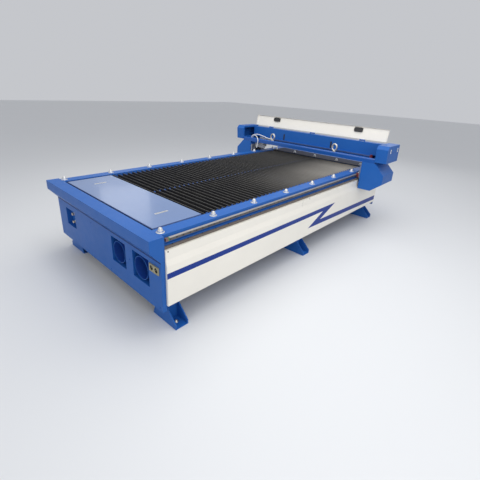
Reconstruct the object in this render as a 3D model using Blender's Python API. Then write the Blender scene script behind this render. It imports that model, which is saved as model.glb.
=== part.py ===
# Flat-bed fibre laser cutting machine: slatted table, travelling gantry, head and lid.
# Lengths are metres. Drawings below use the table datum: x from the centre line,
# y from the front face of the end hood, z up from the table top.
import math

import bmesh
import bpy
from mathutils import Vector

# Overall sizes
LENGTH = 4.04
HOOD_WIDTH = 1.90
TABLE_TOP = 0.80
FIT = 0.0003
SHEET = 0.003
OVERCUT = 0.010
WELD = 0.001

# End hood and end panel
HOOD_DEPTH = 0.12
HOOD_FACE = 0.089
PANEL_SETBACK = 0.085
PANEL_TOP_DROP = 0.192
PANEL_BOTTOM_DROP = 0.612
PORT_SIZE = 0.23
PORT_CENTRES = (HOOD_WIDTH / 2 - 0.620, HOOD_WIDTH / 2 - 0.278)
PORT_DROP = 0.351
PORT_DEPTH = 0.06
DUCT_RADIUS = 0.0945
DUCT_WALL = 0.003
DUCT_LENGTH = 0.16
DUCT_RIM = 0.006
RECESS_CENTRE = 0.302 - HOOD_WIDTH / 2
RECESS_WIDTH = 0.216
RECESS_DROP = 0.3455
RECESS_HEIGHT = 0.181
RECESS_DEPTH = 0.05
FITTING_FROM_CENTRE = 0.013
FITTING_RADIUS = 0.018
FITTING_LENGTH = 0.042
FITTING_BORE = 0.009
FITTING_FLANGE = 0.008
FITTING_NOSE_RADIUS = 0.0135
FITTING_FLOOR = 0.012
FITTING_SPREAD = 0.085
SOCKET_X = HOOD_WIDTH / 2 - 0.0845
SOCKET_WIDTH = 0.119
SOCKET_HEIGHT = 0.061
SOCKET_DROP = 0.2725
SOCKET_THICKNESS = 0.008
OUTLET_RADIUS = 0.020
OUTLET_DEPTH = 0.005

# Side beams with their shelf, ledge and lower lip
BEAM_INNER = 0.80
BEAM_OUTER = 0.916
BEAM_DEPTH = 0.58
LEDGE_TOP_DROP = 0.071
LEDGE_HEIGHT = 0.012
LEDGE_REACH = 0.010
SHELF_DROP = 0.110
SHELF_THICKNESS = 0.010
SHELF_REACH = 0.035
LIP_THICKNESS = 0.008
LIP_REACH = 0.040

# Ball units on the side beams and on the rear cross rail
BALL_LINE = 0.867
BALL_FIRST = 0.146
BALL_PITCH = 0.5027
BALL_COUNT = 8
BALL_RADIUS = 0.016
BALL_TOP = 0.038
BALL_BASE_RADIUS = 0.026
BALL_BASE_HEIGHT = 0.009
BALL_CUP_WALL = 0.003
BALL_CUP_RISE = 0.004
REAR_BALLS = 5
REAR_BALL_PITCH = 0.385
REAR_BALL_SETBACK = 0.05

# Cover plate over the near end of the bed
COVER_HALF = 0.7805
COVER_START = 0.135
COVER_LENGTH = 0.468
COVER_DROP = 0.004
COVER_SHEET = 0.004
GRIP_X = 0.54
GRIP_START = 0.318
GRIP_LENGTH = 0.115
GRIP_WIDTH = 0.012

# Slat bed and combs
SLAT_COUNT = 50
SLAT_PITCH = 0.060
SLAT_FIRST = 0.633
SLAT_THICKNESS = 0.003
SLAT_HEIGHT = 0.064
SLAT_DROP = 0.006
SLAT_OVERHANG = 0.011
COMB_LINE = 0.777
COMB_THICKNESS = 0.004
COMB_TOOTH = 0.042
COMB_CREST = 0.012

# Linear rail and rack on the outer face of each side beam
RAIL_DROP = 0.026
RAIL_WIDTH = 0.023
RAIL_HEIGHT = 0.022
RAIL_FOOT = 0.008
RAIL_WAIST = 0.003
RAIL_END = 0.145
RACK_DROP = 0.085
RACK_HEIGHT = 0.020
RACK_DEPTH = 0.024

# Side panels, one folded sheet on each side
SIDE_SHEET = 0.002
SIDE_TOP_DROP = 0.108
SIDE_UPPER_X = 0.958
SIDE_LOWER_X = 0.970
SIDE_FOLD_DROP = 0.180
SIDE_LOWER_DROP = 0.228
SIDE_BOTTOM_DROP = 0.561
SIDE_MARGIN = 0.1215

# Legs
LEG_SETBACK = 0.170
LEG_PITCH = 1.79
LEG_WIDTH = 0.120
LEG_PLATE = 0.009
LEG_INNER = 0.680
LEG_OUTER = 0.986
LEG_TOE = 0.040
LEG_SHOULDER = 0.060
LEG_TOP_INNER = 0.765
LEG_TOP_OUTER = 0.862
LEG_WEB = 0.841
LEG_BOLT_RADIUS = 0.011
LEG_BOLT_X = 0.911

# Cross tubes and slag tray
TUBE_SIZE = 0.08
TUBE_WALL = 0.005
TRAY_START = 0.35
TRAY_HEIGHT = 0.12
TRAY_SIDE_GAP = 0.004

# Gantry frame
GANTRY_FRONT = 3.186
GANTRY_DEPTH = 0.364
UPRIGHT_INNER = 0.978
UPRIGHT_TOP = 0.150
UPRIGHT_WIDTH = 0.302
UPRIGHT_TOP_STEP = 0.130
UPRIGHT_SHOULDER = 0.014
UPRIGHT_HIP = 0.100
UPRIGHT_BOTTOM = 0.210
UPRIGHT_BOTTOM_STEP = 0.135
BOX_INNER = 1.140
BOX_OUTER = 1.284
BOX_FLOOR = 0.170
BOX_TOP = 0.385
BOX_CHIN = 0.341
BOX_FRONT_LOW = 3.180
BOX_FRONT_CHIN = 3.165
BOX_FRONT_TOP = 3.205
BOX_BACK_TOP = 3.560
BOX_BACK_LOW = 3.570
BOX_FOOT_REACH = 0.120
BOX_WINDOW_START = 3.200
BOX_WINDOW_LENGTH = 0.280
BOX_WINDOW_FLOOR = 0.215
BOX_WINDOW_HEIGHT = 0.140
FRONT_BEAM_SIZE = 0.060
FRONT_BEAM_WALL = 0.006
FRONT_BEAM_ROUND = 0.016
REAR_BEAM_FRONT = 3.420
REAR_BEAM_DEPTH = 0.060
REAR_BEAM_FLOOR = 0.110
REAR_BEAM_HEIGHT = 0.100
WALL_FRONT = 3.450
WALL_TOP = 0.370
WALL_SHEET = 0.002
WALL_SLOTS = (-0.49, 0.36)
WALL_SLOT_WIDTH = 0.017
WALL_SLOT_LOW = 0.190
WALL_SLOT_HIGH = 0.295

# Lid, with its hinge axis along x
HINGE_Y = 3.495
HINGE_Z = 0.385
HINGE_LINES = (-0.80, 0.0, 0.80)
HINGE_PIN_RADIUS = 0.004
HINGE_BARREL_RADIUS = 0.008
HINGE_BARREL_LENGTH = 0.060
HINGE_EAR = 0.010
LID_SIDE_GAP = 0.010
LID_LENGTH = 0.176
LID_SHEET = 0.002
LID_FLANGE = 0.018
LID_EDGE_GAP = 0.004
LID_OPEN_DEG = 101.5
LID_HANDLE_X = 0.71
LID_HANDLE_FROM_EDGE = 0.045
LID_HANDLE_WIDTH = 0.12
LID_HANDLE_HEIGHT = 0.055
LID_HANDLE_DEPTH = 0.014

# Lifting eyes on the front beam
EYE_X = 0.543
EYE_RING = 0.034
EYE_WIRE = 0.012
EYE_STRETCH = 1.3
EYE_CENTRE = 0.270
EYE_COLLAR_RADIUS = 0.024
EYE_COLLAR_HEIGHT = 0.010

# Drive of the gantry along the table
BLOCK_HEIGHT = 0.040
BLOCK_WIDTH = 0.056
BLOCK_LENGTH = 0.090
BLOCK_MARGIN = 0.010
CARRIAGE_TOP = 0.100
CARRIAGE_BOTTOM = 0.075
MOTOR_CENTRE_Y = 3.368
MOTOR_BAY = 0.150
MOTOR_SIZE = 0.080
MOTOR_TOP = 0.060
MOTOR_FOOT = 0.080
MOTOR_FLANGE = 0.010
PINION_RADIUS = 0.042
PINION_TOOTH = 0.004
PINION_TEETH = 28
PINION_HEIGHT = 0.016
PINION_SHAFT = 0.010
PINION_MESH = 0.0005
PINION_MARGIN = 0.003

# Cross slide and head
X_RAIL_SIZE = 0.015
X_RAIL_DEPTH = 0.012
X_RAIL_RISES = (0.004, 0.081)
X_RACK_HEIGHT = 0.012
X_RACK_RISE = 0.055
X_BLOCK_LENGTH = 0.050
X_BLOCK_WALL = 0.005
X_BLOCK_GAP = 0.003
CARRIAGE_LEFT = -0.940
CARRIAGE_WIDTH = 0.220
CARRIAGE_FLOOR = 0.108
CARRIAGE_HEIGHT = 0.098
CARRIAGE_PLATE = 0.012
CARRIAGE_FACE = 3.378
X_PINION_RADIUS = 0.014
X_PINION_TEETH = 16
X_PINION_TOOTH = 0.003
X_SHAFT = 0.004
X_SHAFT_ROOM = 0.001
X_MOTOR_SIZE = 0.040
X_MOTOR_LENGTH = 0.070
X_MOTOR_FROM_LEFT = 0.032
HEAD_FROM_LEFT = 0.110
HEAD_SIZE = 0.070
HEAD_BACK = 0.012
HEAD_PLATE_WIDTH = 0.090
HEAD_GIB = 0.006
HEAD_FLOOR = 0.075
HEAD_TOP = 0.180
HEAD_BODY_DROP = 0.010
HEAD_NECK_RADIUS = 0.022
HEAD_NECK_FLOOR = 0.058
SKIRT_WIDTH = 0.190
SKIRT_FOOT = 0.150
SKIRT_TOP = 0.098
SKIRT_FLOOR = 0.052
SKIRT_SHEET = 0.004
NOZZLE_RADIUS = 0.014
NOZZLE_TIP = 0.003
NOZZLE_COLLAR = 0.005
NOZZLE_FLOOR = 0.045
Z_MOTOR_SIZE = 0.040
Z_MOTOR_HEIGHT = 0.070

# Hoses
HOSE_RADIUS = 0.006
HOSE_STEP = 0.016
GLAND_RADIUS = 0.009
GLAND_HEIGHT = 0.018
LONG_HOSE = (
    (-1.045, 3.270, 0.1683),
    (-1.045, 3.270, 0.186),
    (-1.0395, 3.270, 0.209),
    (-1.022, 3.270, 0.228),
    (-0.975, 3.270, 0.253),
    (-0.905, 3.270, 0.266),
    (-0.800, 3.270, 0.253),
    (-0.735, 3.274, 0.2375),
    (-0.704, 3.281, 0.229),
    (-0.679, 3.300, 0.220),
    (-0.654, 3.319, 0.2115),
    (-0.623, 3.3263, 0.203),
    (-0.599, 3.3199, 0.197),
    (-0.5814, 3.3023, 0.192),
    (-0.575, 3.2803, 0.190),
    (-0.575, 3.2623, 0.190),
)
SHORT_HOSE = (
    (-1.015, 3.268, 0.1683),
    (-1.015, 3.268, 0.186),
    (-1.0095, 3.2662, 0.209),
    (-0.9934, 3.2605, 0.227),
    (-0.955, 3.246, 0.243),
    (-0.905, 3.222, 0.248),
    (-0.845, 3.187, 0.230),
    (-0.808, 3.168, 0.192),
    (-0.803, 3.160, 0.138),
    (-0.803, 3.160, 0.1117),
    (-0.8082, 3.1638, 0.0877),
    (-0.8222, 3.1744, 0.0701),
    (-0.8415, 3.1887, 0.0637),
    (-0.8607, 3.2031, 0.0701),
    (-0.8748, 3.2136, 0.0877),
    (-0.880, 3.2174, 0.110),
    (-0.880, 3.2174, 0.1317),
)


def clear_scene():
    """Remove every object the file holds."""
    for item in list(bpy.data.objects):
        bpy.data.objects.remove(item, do_unlink=True)


def paint(name, colour, roughness, metallic=0.0):
    """One Principled material."""
    material = bpy.data.materials.new(name)
    material.use_nodes = True
    shader = material.node_tree.nodes["Principled BSDF"]
    shader.inputs["Base Color"].default_value = (*colour, 1.0)
    shader.inputs["Roughness"].default_value = roughness
    shader.inputs["Metallic"].default_value = metallic
    material.diffuse_color = (*colour, 1.0)
    return material


def prism(axis, outline, start, end):
    """Closed shell of an outline swept along an axis, as vertices and faces."""
    def point(pair, along):
        if axis == "x":
            return (along, pair[0], pair[1])
        if axis == "y":
            return (pair[0], along, pair[1])
        return (pair[0], pair[1], along)

    count = len(outline)
    verts = [point(pair, start) for pair in outline]
    verts += [point(pair, end) for pair in outline]
    faces = [tuple(range(count)), tuple(range(2 * count - 1, count - 1, -1))]
    for i in range(count):
        j = (i + 1) % count
        faces.append((i, count + i, count + j, j))
    return verts, faces


def block(x0, x1, y0, y1, z0, z1):
    """Rectangular shell between two corners."""
    return prism("z", ((x0, y0), (x1, y0), (x1, y1), (x0, y1)), z0, z1)


def circle(radius, segments, centre=(0.0, 0.0)):
    """Points of a circle."""
    step = 2 * math.pi / segments
    return [(centre[0] + radius * math.cos(step * i),
             centre[1] + radius * math.sin(step * i)) for i in range(segments)]


def rod(axis, centre, radius, start, end, segments=16):
    """Round bar along an axis; centre holds the two other coordinates."""
    return prism(axis, circle(radius, segments, centre), start, end)


def turned(profile, centre, segments=12):
    """Shape turned about a vertical axis; profile runs (radius, height) from base to apex."""
    verts = []
    faces = []
    rings = [pair for pair in profile if pair[0] > 0.0]
    for radius, height in rings:
        verts += [(x, y, height) for x, y in circle(radius, segments, centre)]
    faces.append(tuple(range(segments)))
    for k in range(len(rings) - 1):
        base = k * segments
        for i in range(segments):
            j = (i + 1) % segments
            faces.append((base + i, base + j, base + segments + j, base + segments + i))
    top = (len(rings) - 1) * segments
    if profile[-1][0] > 0.0:
        faces.append(tuple(range(top, top + segments)))
    else:
        verts.append((centre[0], centre[1], profile[-1][1]))
        apex = len(verts) - 1
        faces += [(top + i, top + (i + 1) % segments, apex) for i in range(segments)]
    return verts, faces


def ring(centre, radius, wire, stretch, segments=20, sides=8):
    """Ring that stands in the x-z plane, drawn out upwards."""
    verts = []
    faces = []
    for i in range(segments):
        turn = 2 * math.pi * i / segments
        for px, py in circle(wire, sides):
            verts.append((centre[0] + (radius + px) * math.cos(turn), centre[1] + py,
                          centre[2] + (radius * stretch + px) * math.sin(turn)))
    for i in range(segments):
        near = i * sides
        far = ((i + 1) % segments) * sides
        for k in range(sides):
            m = (k + 1) % sides
            faces.append((near + k, near + m, far + m, far + k))
    return verts, faces


def gear_outline(centre, radius, tooth, teeth):
    """Outline of a spur pinion with straight flanks, a tooth on the +x side."""
    points = []
    for i in range(teeth):
        for share, reach in ((-0.27, radius - tooth), (-0.13, radius),
                             (0.13, radius), (0.27, radius - tooth)):
            turn = 2 * math.pi * (i + share) / teeth
            points.append((centre[0] + reach * math.cos(turn), centre[1] + reach * math.sin(turn)))
    return points


def offset_path(path, distance):
    """Path shifted to its left by a distance, corners kept sharp."""
    lines = []
    for a, b in zip(path, path[1:]):
        along = Vector((b[0] - a[0], b[1] - a[1])).normalized()
        normal = Vector((-along.y, along.x)) * distance
        lines.append((Vector(a) + normal, along))
    shifted = [lines[0][0]]
    for (p, d), (q, e) in zip(lines, lines[1:]):
        cross = d.x * e.y - d.y * e.x
        gap = q - p
        shifted.append(p + d * ((gap.x * e.y - gap.y * e.x) / cross))
    last = Vector(path[-1]) + lines[-1][0] - Vector(path[-2])
    shifted.append(last)
    return [tuple(point) for point in shifted]


def folded(path, thickness):
    """Outline of a sheet folded along a path, its thickness to the left."""
    return list(path) + offset_path(path, thickness)[::-1]


def mirrored(shells, side):
    """Shells as drawn for the right side, or flipped to the left."""
    return [([(side * x, y, z) for x, y, z in verts], faces) for verts, faces in shells]


def mesh_of(name, shells, pivot):
    """Mesh from closed shells, its faces pointing out, measured from the pivot."""
    shape = bmesh.new()
    for verts, faces in shells:
        made = [shape.verts.new(Vector(v) - Vector(pivot)) for v in verts]
        for face in faces:
            shape.faces.new([made[i] for i in face])
    bmesh.ops.recalc_face_normals(shape, faces=shape.faces)
    mesh = bpy.data.meshes.new(name)
    shape.to_mesh(mesh)
    shape.free()
    return mesh


def put(name, mesh, pivot, tilt=0.0):
    """Object placed from the table datum, with its origin at the pivot."""
    item = bpy.data.objects.new(name, mesh)
    item.location = (pivot[0], pivot[1] - LENGTH / 2, pivot[2] + TABLE_TOP)
    item.rotation_euler = (tilt, 0.0, 0.0)
    bpy.context.scene.collection.objects.link(item)
    return item


def combine(item, operation, shells, pivot, tilt):
    """Join or cut an object with hidden tool shells that don't meet each other."""
    label = f"{item.name}_{operation.lower()}_{len(item.modifiers)}"
    tool = put(label, mesh_of(label, shells, pivot), pivot, tilt)
    tool.hide_render = True
    tool.display_type = "WIRE"
    step = item.modifiers.new(operation.title(), "BOOLEAN")
    step.operation = operation
    step.solver = "EXACT"
    step.object = tool


def join(*shells):
    """Step that adds shells to a part."""
    return "UNION", shells


def cut(*shells):
    """Step that takes shells away from a part."""
    return "DIFFERENCE", shells


def solid(name, shell, material, steps=(), side=1, pivot=(0.0, 0.0, 0.0), tilt=0.0,
          smooth=False):
    """Named part: one base shell, then the joins and cuts in their order."""
    mesh = mesh_of(name, mirrored([shell], side), pivot)
    mesh.materials.append(material)
    if smooth:
        mesh.shade_smooth()
        mesh.set_sharp_from_angle(angle=math.radians(35))
    item = put(name, mesh, pivot, tilt)
    for operation, group in steps:
        combine(item, operation, mirrored(group, side), pivot, tilt)
    return item


def ball_unit(x, y, seat):
    """Ball transfer unit standing on a face at height seat."""
    base = seat + BALL_BASE_HEIGHT
    middle = seat + BALL_TOP - BALL_RADIUS
    profile = [(BALL_BASE_RADIUS, seat - WELD), (BALL_BASE_RADIUS, base),
               (BALL_RADIUS + BALL_CUP_WALL, base + BALL_CUP_RISE), (BALL_RADIUS, middle)]
    for turn in (30, 60):
        profile.append((BALL_RADIUS * math.cos(math.radians(turn)),
                        middle + BALL_RADIUS * math.sin(math.radians(turn))))
    profile.append((0.0, middle + BALL_RADIUS))
    return turned(profile, (x, y), 10)


def side_beams(blue):
    """Welded box beams that carry the bed, rails and racks."""
    ledge = -LEDGE_TOP_DROP
    section = (
        (BEAM_INNER, 0.0), (BEAM_OUTER, 0.0), (BEAM_OUTER, ledge),
        (BEAM_OUTER + LEDGE_REACH, ledge), (BEAM_OUTER + LEDGE_REACH, ledge - LEDGE_HEIGHT),
        (BEAM_OUTER, ledge - LEDGE_HEIGHT), (BEAM_OUTER, -BEAM_DEPTH),
        (BEAM_INNER - LIP_REACH, -BEAM_DEPTH), (BEAM_INNER - LIP_REACH, -BEAM_DEPTH + LIP_THICKNESS),
        (BEAM_INNER, -BEAM_DEPTH + LIP_THICKNESS), (BEAM_INNER, -SHELF_DROP - SHELF_THICKNESS),
        (BEAM_INNER - SHELF_REACH, -SHELF_DROP - SHELF_THICKNESS),
        (BEAM_INNER - SHELF_REACH, -SHELF_DROP), (BEAM_INNER, -SHELF_DROP),
    )
    start = HOOD_DEPTH + FIT
    balls = [ball_unit(BALL_LINE, BALL_FIRST + BALL_PITCH * i, 0.0) for i in range(BALL_COUNT)]
    for side, hand in ((1, "right"), (-1, "left")):
        solid(f"side_beam_{hand}", prism("y", section, start, LENGTH - start), blue,
              [join(*balls)], side)


def hood_shells():
    """Outer shape of the hood, and the hollow that leaves it a folded sheet."""
    half = HOOD_WIDTH / 2
    face = [(0.0, 0.0), (0.0, -HOOD_FACE), (PANEL_SETBACK, -PANEL_TOP_DROP)]
    outline = face + [(HOOD_DEPTH, -PANEL_TOP_DROP), (HOOD_DEPTH, 0.0)]
    inner = offset_path([(HOOD_DEPTH, 0.0)] + face, SHEET)
    slope = (Vector(inner[3]) - Vector(inner[2])).normalized()
    inner[3] = tuple(Vector(inner[3]) + slope * OVERCUT)
    hollow = inner + [(HOOD_DEPTH + SHEET, inner[3][1]), (HOOD_DEPTH + SHEET, inner[0][1])]
    return prism("x", outline, -half, half), prism("x", hollow, SHEET - half, half - SHEET)


def end_hood(blue):
    """Folded hood over the near end of the table."""
    outer, hollow = hood_shells()
    solid("end_hood", outer, blue, [cut(hollow)])


def pan(x, drop, width, height, depth, wall):
    """Box that reaches back from the end panel."""
    return block(x - width / 2 - wall, x + width / 2 + wall, PANEL_SETBACK + wall / 2 + WELD,
                 PANEL_SETBACK + depth + wall, -drop - height / 2 - wall, -drop + height / 2 + wall)


def pan_hollow(x, drop, width, height, depth):
    """Inside of such a box, open to the front."""
    return block(x - width / 2, x + width / 2, PANEL_SETBACK - OVERCUT, PANEL_SETBACK + depth,
                 -drop - height / 2, -drop + height / 2)


def end_panel(blue):
    """Folded end panel with two port boxes and a recess box welded behind it."""
    half = HOOD_WIDTH / 2
    top = -PANEL_TOP_DROP - FIT
    outer = block(-half, half, PANEL_SETBACK, HOOD_DEPTH, -PANEL_BOTTOM_DROP, top)
    hollow = block(SHEET - half, half - SHEET, PANEL_SETBACK + SHEET, HOOD_DEPTH + OVERCUT,
                   -PANEL_BOTTOM_DROP + SHEET, top + OVERCUT)
    pans = [pan(x, PORT_DROP, PORT_SIZE, PORT_SIZE, PORT_DEPTH, SHEET) for x in PORT_CENTRES]
    pans.append(pan(RECESS_CENTRE, RECESS_DROP, RECESS_WIDTH, RECESS_HEIGHT, RECESS_DEPTH, SHEET))
    hollows = [pan_hollow(x, PORT_DROP, PORT_SIZE, PORT_SIZE, PORT_DEPTH) for x in PORT_CENTRES]
    hollows.append(pan_hollow(RECESS_CENTRE, RECESS_DROP, RECESS_WIDTH, RECESS_HEIGHT, RECESS_DEPTH))
    floor = PANEL_SETBACK + PORT_DEPTH
    holes = [rod("y", (x, -PORT_DROP), DUCT_RADIUS + FIT, floor - OVERCUT, floor + OVERCUT, 32)
             for x in PORT_CENTRES]
    steps = [cut(hollow), join(*pans), cut(*hollows), cut(*holes)]
    solid("end_panel", outer, blue, steps)


def exhaust_ducts(blue):
    """Round ducts through the back of each port box, flush with the panel."""
    start = PANEL_SETBACK + DUCT_RIM
    end = PANEL_SETBACK + PORT_DEPTH + DUCT_LENGTH
    for x, place in zip(PORT_CENTRES, ("inner", "outer")):
        centre = (x, -PORT_DROP)
        tube = rod("y", centre, DUCT_RADIUS, start, end, 32)
        bore = rod("y", centre, DUCT_RADIUS - DUCT_WALL, start - OVERCUT, end + OVERCUT, 32)
        solid(f"exhaust_duct_{place}", tube, blue, [cut(bore)], smooth=True)


def gas_fittings(zinc):
    """Two gas inlets on the floor of the recess."""
    back = PANEL_SETBACK + RECESS_DEPTH - FIT
    for sign, place in ((1, "upper"), (-1, "lower")):
        centre = (RECESS_CENTRE + FITTING_FROM_CENTRE, -RECESS_DROP + sign * FITTING_SPREAD / 2)
        flange = rod("y", centre, FITTING_RADIUS, back - FITTING_FLANGE, back, 6)
        nose = rod("y", centre, FITTING_NOSE_RADIUS, back - FITTING_LENGTH,
                   back - FITTING_FLANGE / 2, 16)
        bore = rod("y", centre, FITTING_BORE, back - FITTING_LENGTH - OVERCUT,
                   back - FITTING_FLOOR, 16)
        solid(f"gas_fitting_{place}", flange, zinc, [join(nose), cut(bore)])


def socket_plate(beige):
    """Plate with two outlets on the end panel."""
    back = PANEL_SETBACK - FIT
    front = back - SOCKET_THICKNESS
    left = SOCKET_X - SOCKET_WIDTH / 2
    low = -SOCKET_DROP - SOCKET_HEIGHT / 2
    plate = block(left, left + SOCKET_WIDTH, front, back, low, low + SOCKET_HEIGHT)
    wells = [rod("y", (SOCKET_X + sign * SOCKET_WIDTH / 4, -SOCKET_DROP), OUTLET_RADIUS,
                 front - OVERCUT, front + OUTLET_DEPTH, 20) for sign in (-1, 1)]
    solid("socket_plate", plate, beige, [cut(*wells)])


def cover_plate(glossy):
    """Folded plate that closes the near end of the bed and stands on the beam shelves."""
    foot = -SHELF_DROP + FIT
    path = [(-COVER_HALF, foot), (-COVER_HALF, -COVER_DROP), (COVER_HALF, -COVER_DROP),
            (COVER_HALF, foot)]
    outline = folded(path, -COVER_SHEET)
    grips = [block(sign * GRIP_X - GRIP_WIDTH / 2, sign * GRIP_X + GRIP_WIDTH / 2, GRIP_START,
                   GRIP_START + GRIP_LENGTH, -COVER_DROP - OVERCUT, OVERCUT) for sign in (-1, 1)]
    solid("cover_plate", prism("y", outline, COVER_START, COVER_START + COVER_LENGTH), glossy,
          [cut(*grips)])


def rear_deck_start():
    """Front edge of the deck behind the last slat."""
    return SLAT_FIRST + SLAT_COUNT * SLAT_PITCH - SLAT_PITCH / 2 + FIT


def comb_outline(foot, notch):
    """Toothed edge in y and z, a tooth between each pair of slats."""
    crest = notch + COMB_TOOTH
    start = SLAT_FIRST - SLAT_PITCH / 2
    end = start + SLAT_PITCH * SLAT_COUNT
    seat = SLAT_THICKNESS / 2 + FIT
    points = [(start, foot), (end, foot), (end, crest)]
    for i in reversed(range(SLAT_COUNT)):
        y = SLAT_FIRST + SLAT_PITCH * i
        far = y + SLAT_PITCH / 2 - COMB_CREST / 2
        near = y - SLAT_PITCH / 2 + COMB_CREST / 2
        points += [(far, crest), (y + seat, notch), (y - seat, notch), (near, crest)]
    points.append((start, crest))
    return points


def slat_bed(black, blue):
    """Slats on edge, joined by the middle comb, between two side combs."""
    notch = -SLAT_DROP - SLAT_HEIGHT - FIT
    foot = -SHELF_DROP + FIT
    reach = COMB_LINE + SLAT_OVERHANG
    slats = []
    for i in range(SLAT_COUNT):
        y = SLAT_FIRST + SLAT_PITCH * i
        slats.append(block(-reach, reach, y - SLAT_THICKNESS / 2, y + SLAT_THICKNESS / 2,
                           notch + FIT, -SLAT_DROP))
    middle = comb_outline(-SHELF_DROP - SHELF_THICKNESS, notch + 2 * FIT)
    half = COMB_THICKNESS / 2
    solid("slat_bed", prism("x", middle, -half, half), black, [join(*slats)])
    outline = comb_outline(foot, notch)
    for side, hand in ((1, "right"), (-1, "left")):
        solid(f"side_comb_{hand}", prism("x", outline, COMB_LINE - half, COMB_LINE + half),
              blue, side=side)


def rear_deck(blue):
    """Folded deck behind the slats with a row of ball units."""
    start = rear_deck_start()
    half = BEAM_INNER - FIT
    foot = -SHELF_DROP + FIT
    path = [(-half, foot), (-half, 0.0), (half, 0.0), (half, foot)]
    deck = prism("y", folded(path, -COVER_SHEET), start, LENGTH - HOOD_DEPTH - FIT)
    middle = (REAR_BALLS - 1) / 2
    balls = [ball_unit((i - middle) * REAR_BALL_PITCH, start + REAR_BALL_SETBACK, 0.0)
             for i in range(REAR_BALLS)]
    solid("rear_deck", deck, blue, [join(*balls)])


def rear_cover(blue):
    """Hood and panel of the far end, folded in one sheet."""
    half = HOOD_WIDTH / 2
    back = LENGTH
    path = [(back - HOOD_DEPTH, 0.0), (back, 0.0), (back, -HOOD_FACE),
            (back - PANEL_SETBACK, -PANEL_TOP_DROP), (back - PANEL_SETBACK, -PANEL_BOTTOM_DROP)]
    inner = offset_path(path, -SHEET)
    outline = path + [(back - HOOD_DEPTH, -PANEL_BOTTOM_DROP)]
    hollow = [(back - HOOD_DEPTH - OVERCUT, -SHEET)] + inner[1:-1]
    hollow += [(inner[-1][0], -PANEL_BOTTOM_DROP + SHEET),
               (back - HOOD_DEPTH - OVERCUT, -PANEL_BOTTOM_DROP + SHEET)]
    solid("rear_cover", prism("x", outline, -half, half), blue,
          [cut(prism("x", hollow, SHEET - half, half - SHEET))])


def side_panels(cream):
    """One folded sheet along each side of the table."""
    seat = BEAM_OUTER + FIT
    path = [(seat, -SIDE_TOP_DROP), (SIDE_UPPER_X, -SIDE_TOP_DROP),
            (SIDE_UPPER_X, -SIDE_FOLD_DROP), (SIDE_LOWER_X, -SIDE_LOWER_DROP),
            (SIDE_LOWER_X, -SIDE_BOTTOM_DROP), (seat, -SIDE_BOTTOM_DROP)]
    sheet = prism("y", folded(path, -SIDE_SHEET), SIDE_MARGIN, LENGTH - SIDE_MARGIN)
    for side, hand in ((1, "right"), (-1, "left")):
        solid(f"side_panel_{hand}", sheet, cream, side=side)


def rails_and_racks(steel, tan):
    """Linear rail and toothed rack on the outer face of each beam."""
    foot = BEAM_OUTER + FIT
    head = BEAM_OUTER + RAIL_HEIGHT
    top = -RAIL_DROP
    low = top - RAIL_WIDTH
    waist = foot + RAIL_FOOT
    section = (
        (foot, low), (waist, low), (waist + RAIL_WAIST, low + RAIL_WAIST),
        (head - RAIL_WAIST, low + RAIL_WAIST), (head, low), (head, top),
        (head - RAIL_WAIST, top - RAIL_WAIST), (waist + RAIL_WAIST, top - RAIL_WAIST),
        (waist, top), (foot, top),
    )
    rail = prism("y", section, RAIL_END, LENGTH - RAIL_END)
    rack = block(foot, BEAM_OUTER + RACK_DEPTH, SIDE_MARGIN, LENGTH - SIDE_MARGIN,
                 -RACK_DROP - RACK_HEIGHT, -RACK_DROP)
    for side, hand in ((1, "right"), (-1, "left")):
        solid(f"y_rail_{hand}", rail, steel, side=side)
        solid(f"y_rack_{hand}", rack, tan, side=side)


def legs(blue):
    """Welded legs: two gussets, a web, a top plate and a base plate."""
    floor = -TABLE_TOP
    top = -BEAM_DEPTH - FIT
    under = top - LEG_PLATE
    base = floor + LEG_PLATE
    toe = floor + LEG_TOE
    outline = (
        (LEG_INNER, floor), (LEG_OUTER, floor), (LEG_OUTER, toe),
        (LEG_TOP_OUTER, top - LEG_SHOULDER), (LEG_TOP_OUTER, top), (LEG_TOP_INNER, top),
        (LEG_INNER, base),
    )
    far = LEG_OUTER + OVERCUT
    outer_pocket = ((LEG_WEB + LEG_PLATE, base), (far, base), (far, under),
                    (LEG_WEB + LEG_PLATE, under))
    inner_pocket = ((LEG_INNER - OVERCUT, base), (LEG_WEB, base), (LEG_WEB, under),
                    (LEG_INNER - OVERCUT, under))
    for place, start in zip(("near", "middle", "far"), leg_starts()):
        low, high = start + LEG_PLATE, start + LEG_WIDTH - LEG_PLATE
        pockets = [prism("y", outer_pocket, low, high), prism("y", inner_pocket, low, high)]
        hole = rod("z", (LEG_BOLT_X, start + LEG_WIDTH / 2), LEG_BOLT_RADIUS, floor - OVERCUT,
                   base + OVERCUT, 12)
        for side, hand in ((1, "right"), (-1, "left")):
            solid(f"leg_{place}_{hand}", prism("y", outline, start, start + LEG_WIDTH), blue,
                  [cut(*pockets), cut(hole)], side)


def leg_starts():
    """Near face of each pair of legs."""
    return [LEG_SETBACK + LEG_PITCH * i for i in range(3)]


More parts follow.
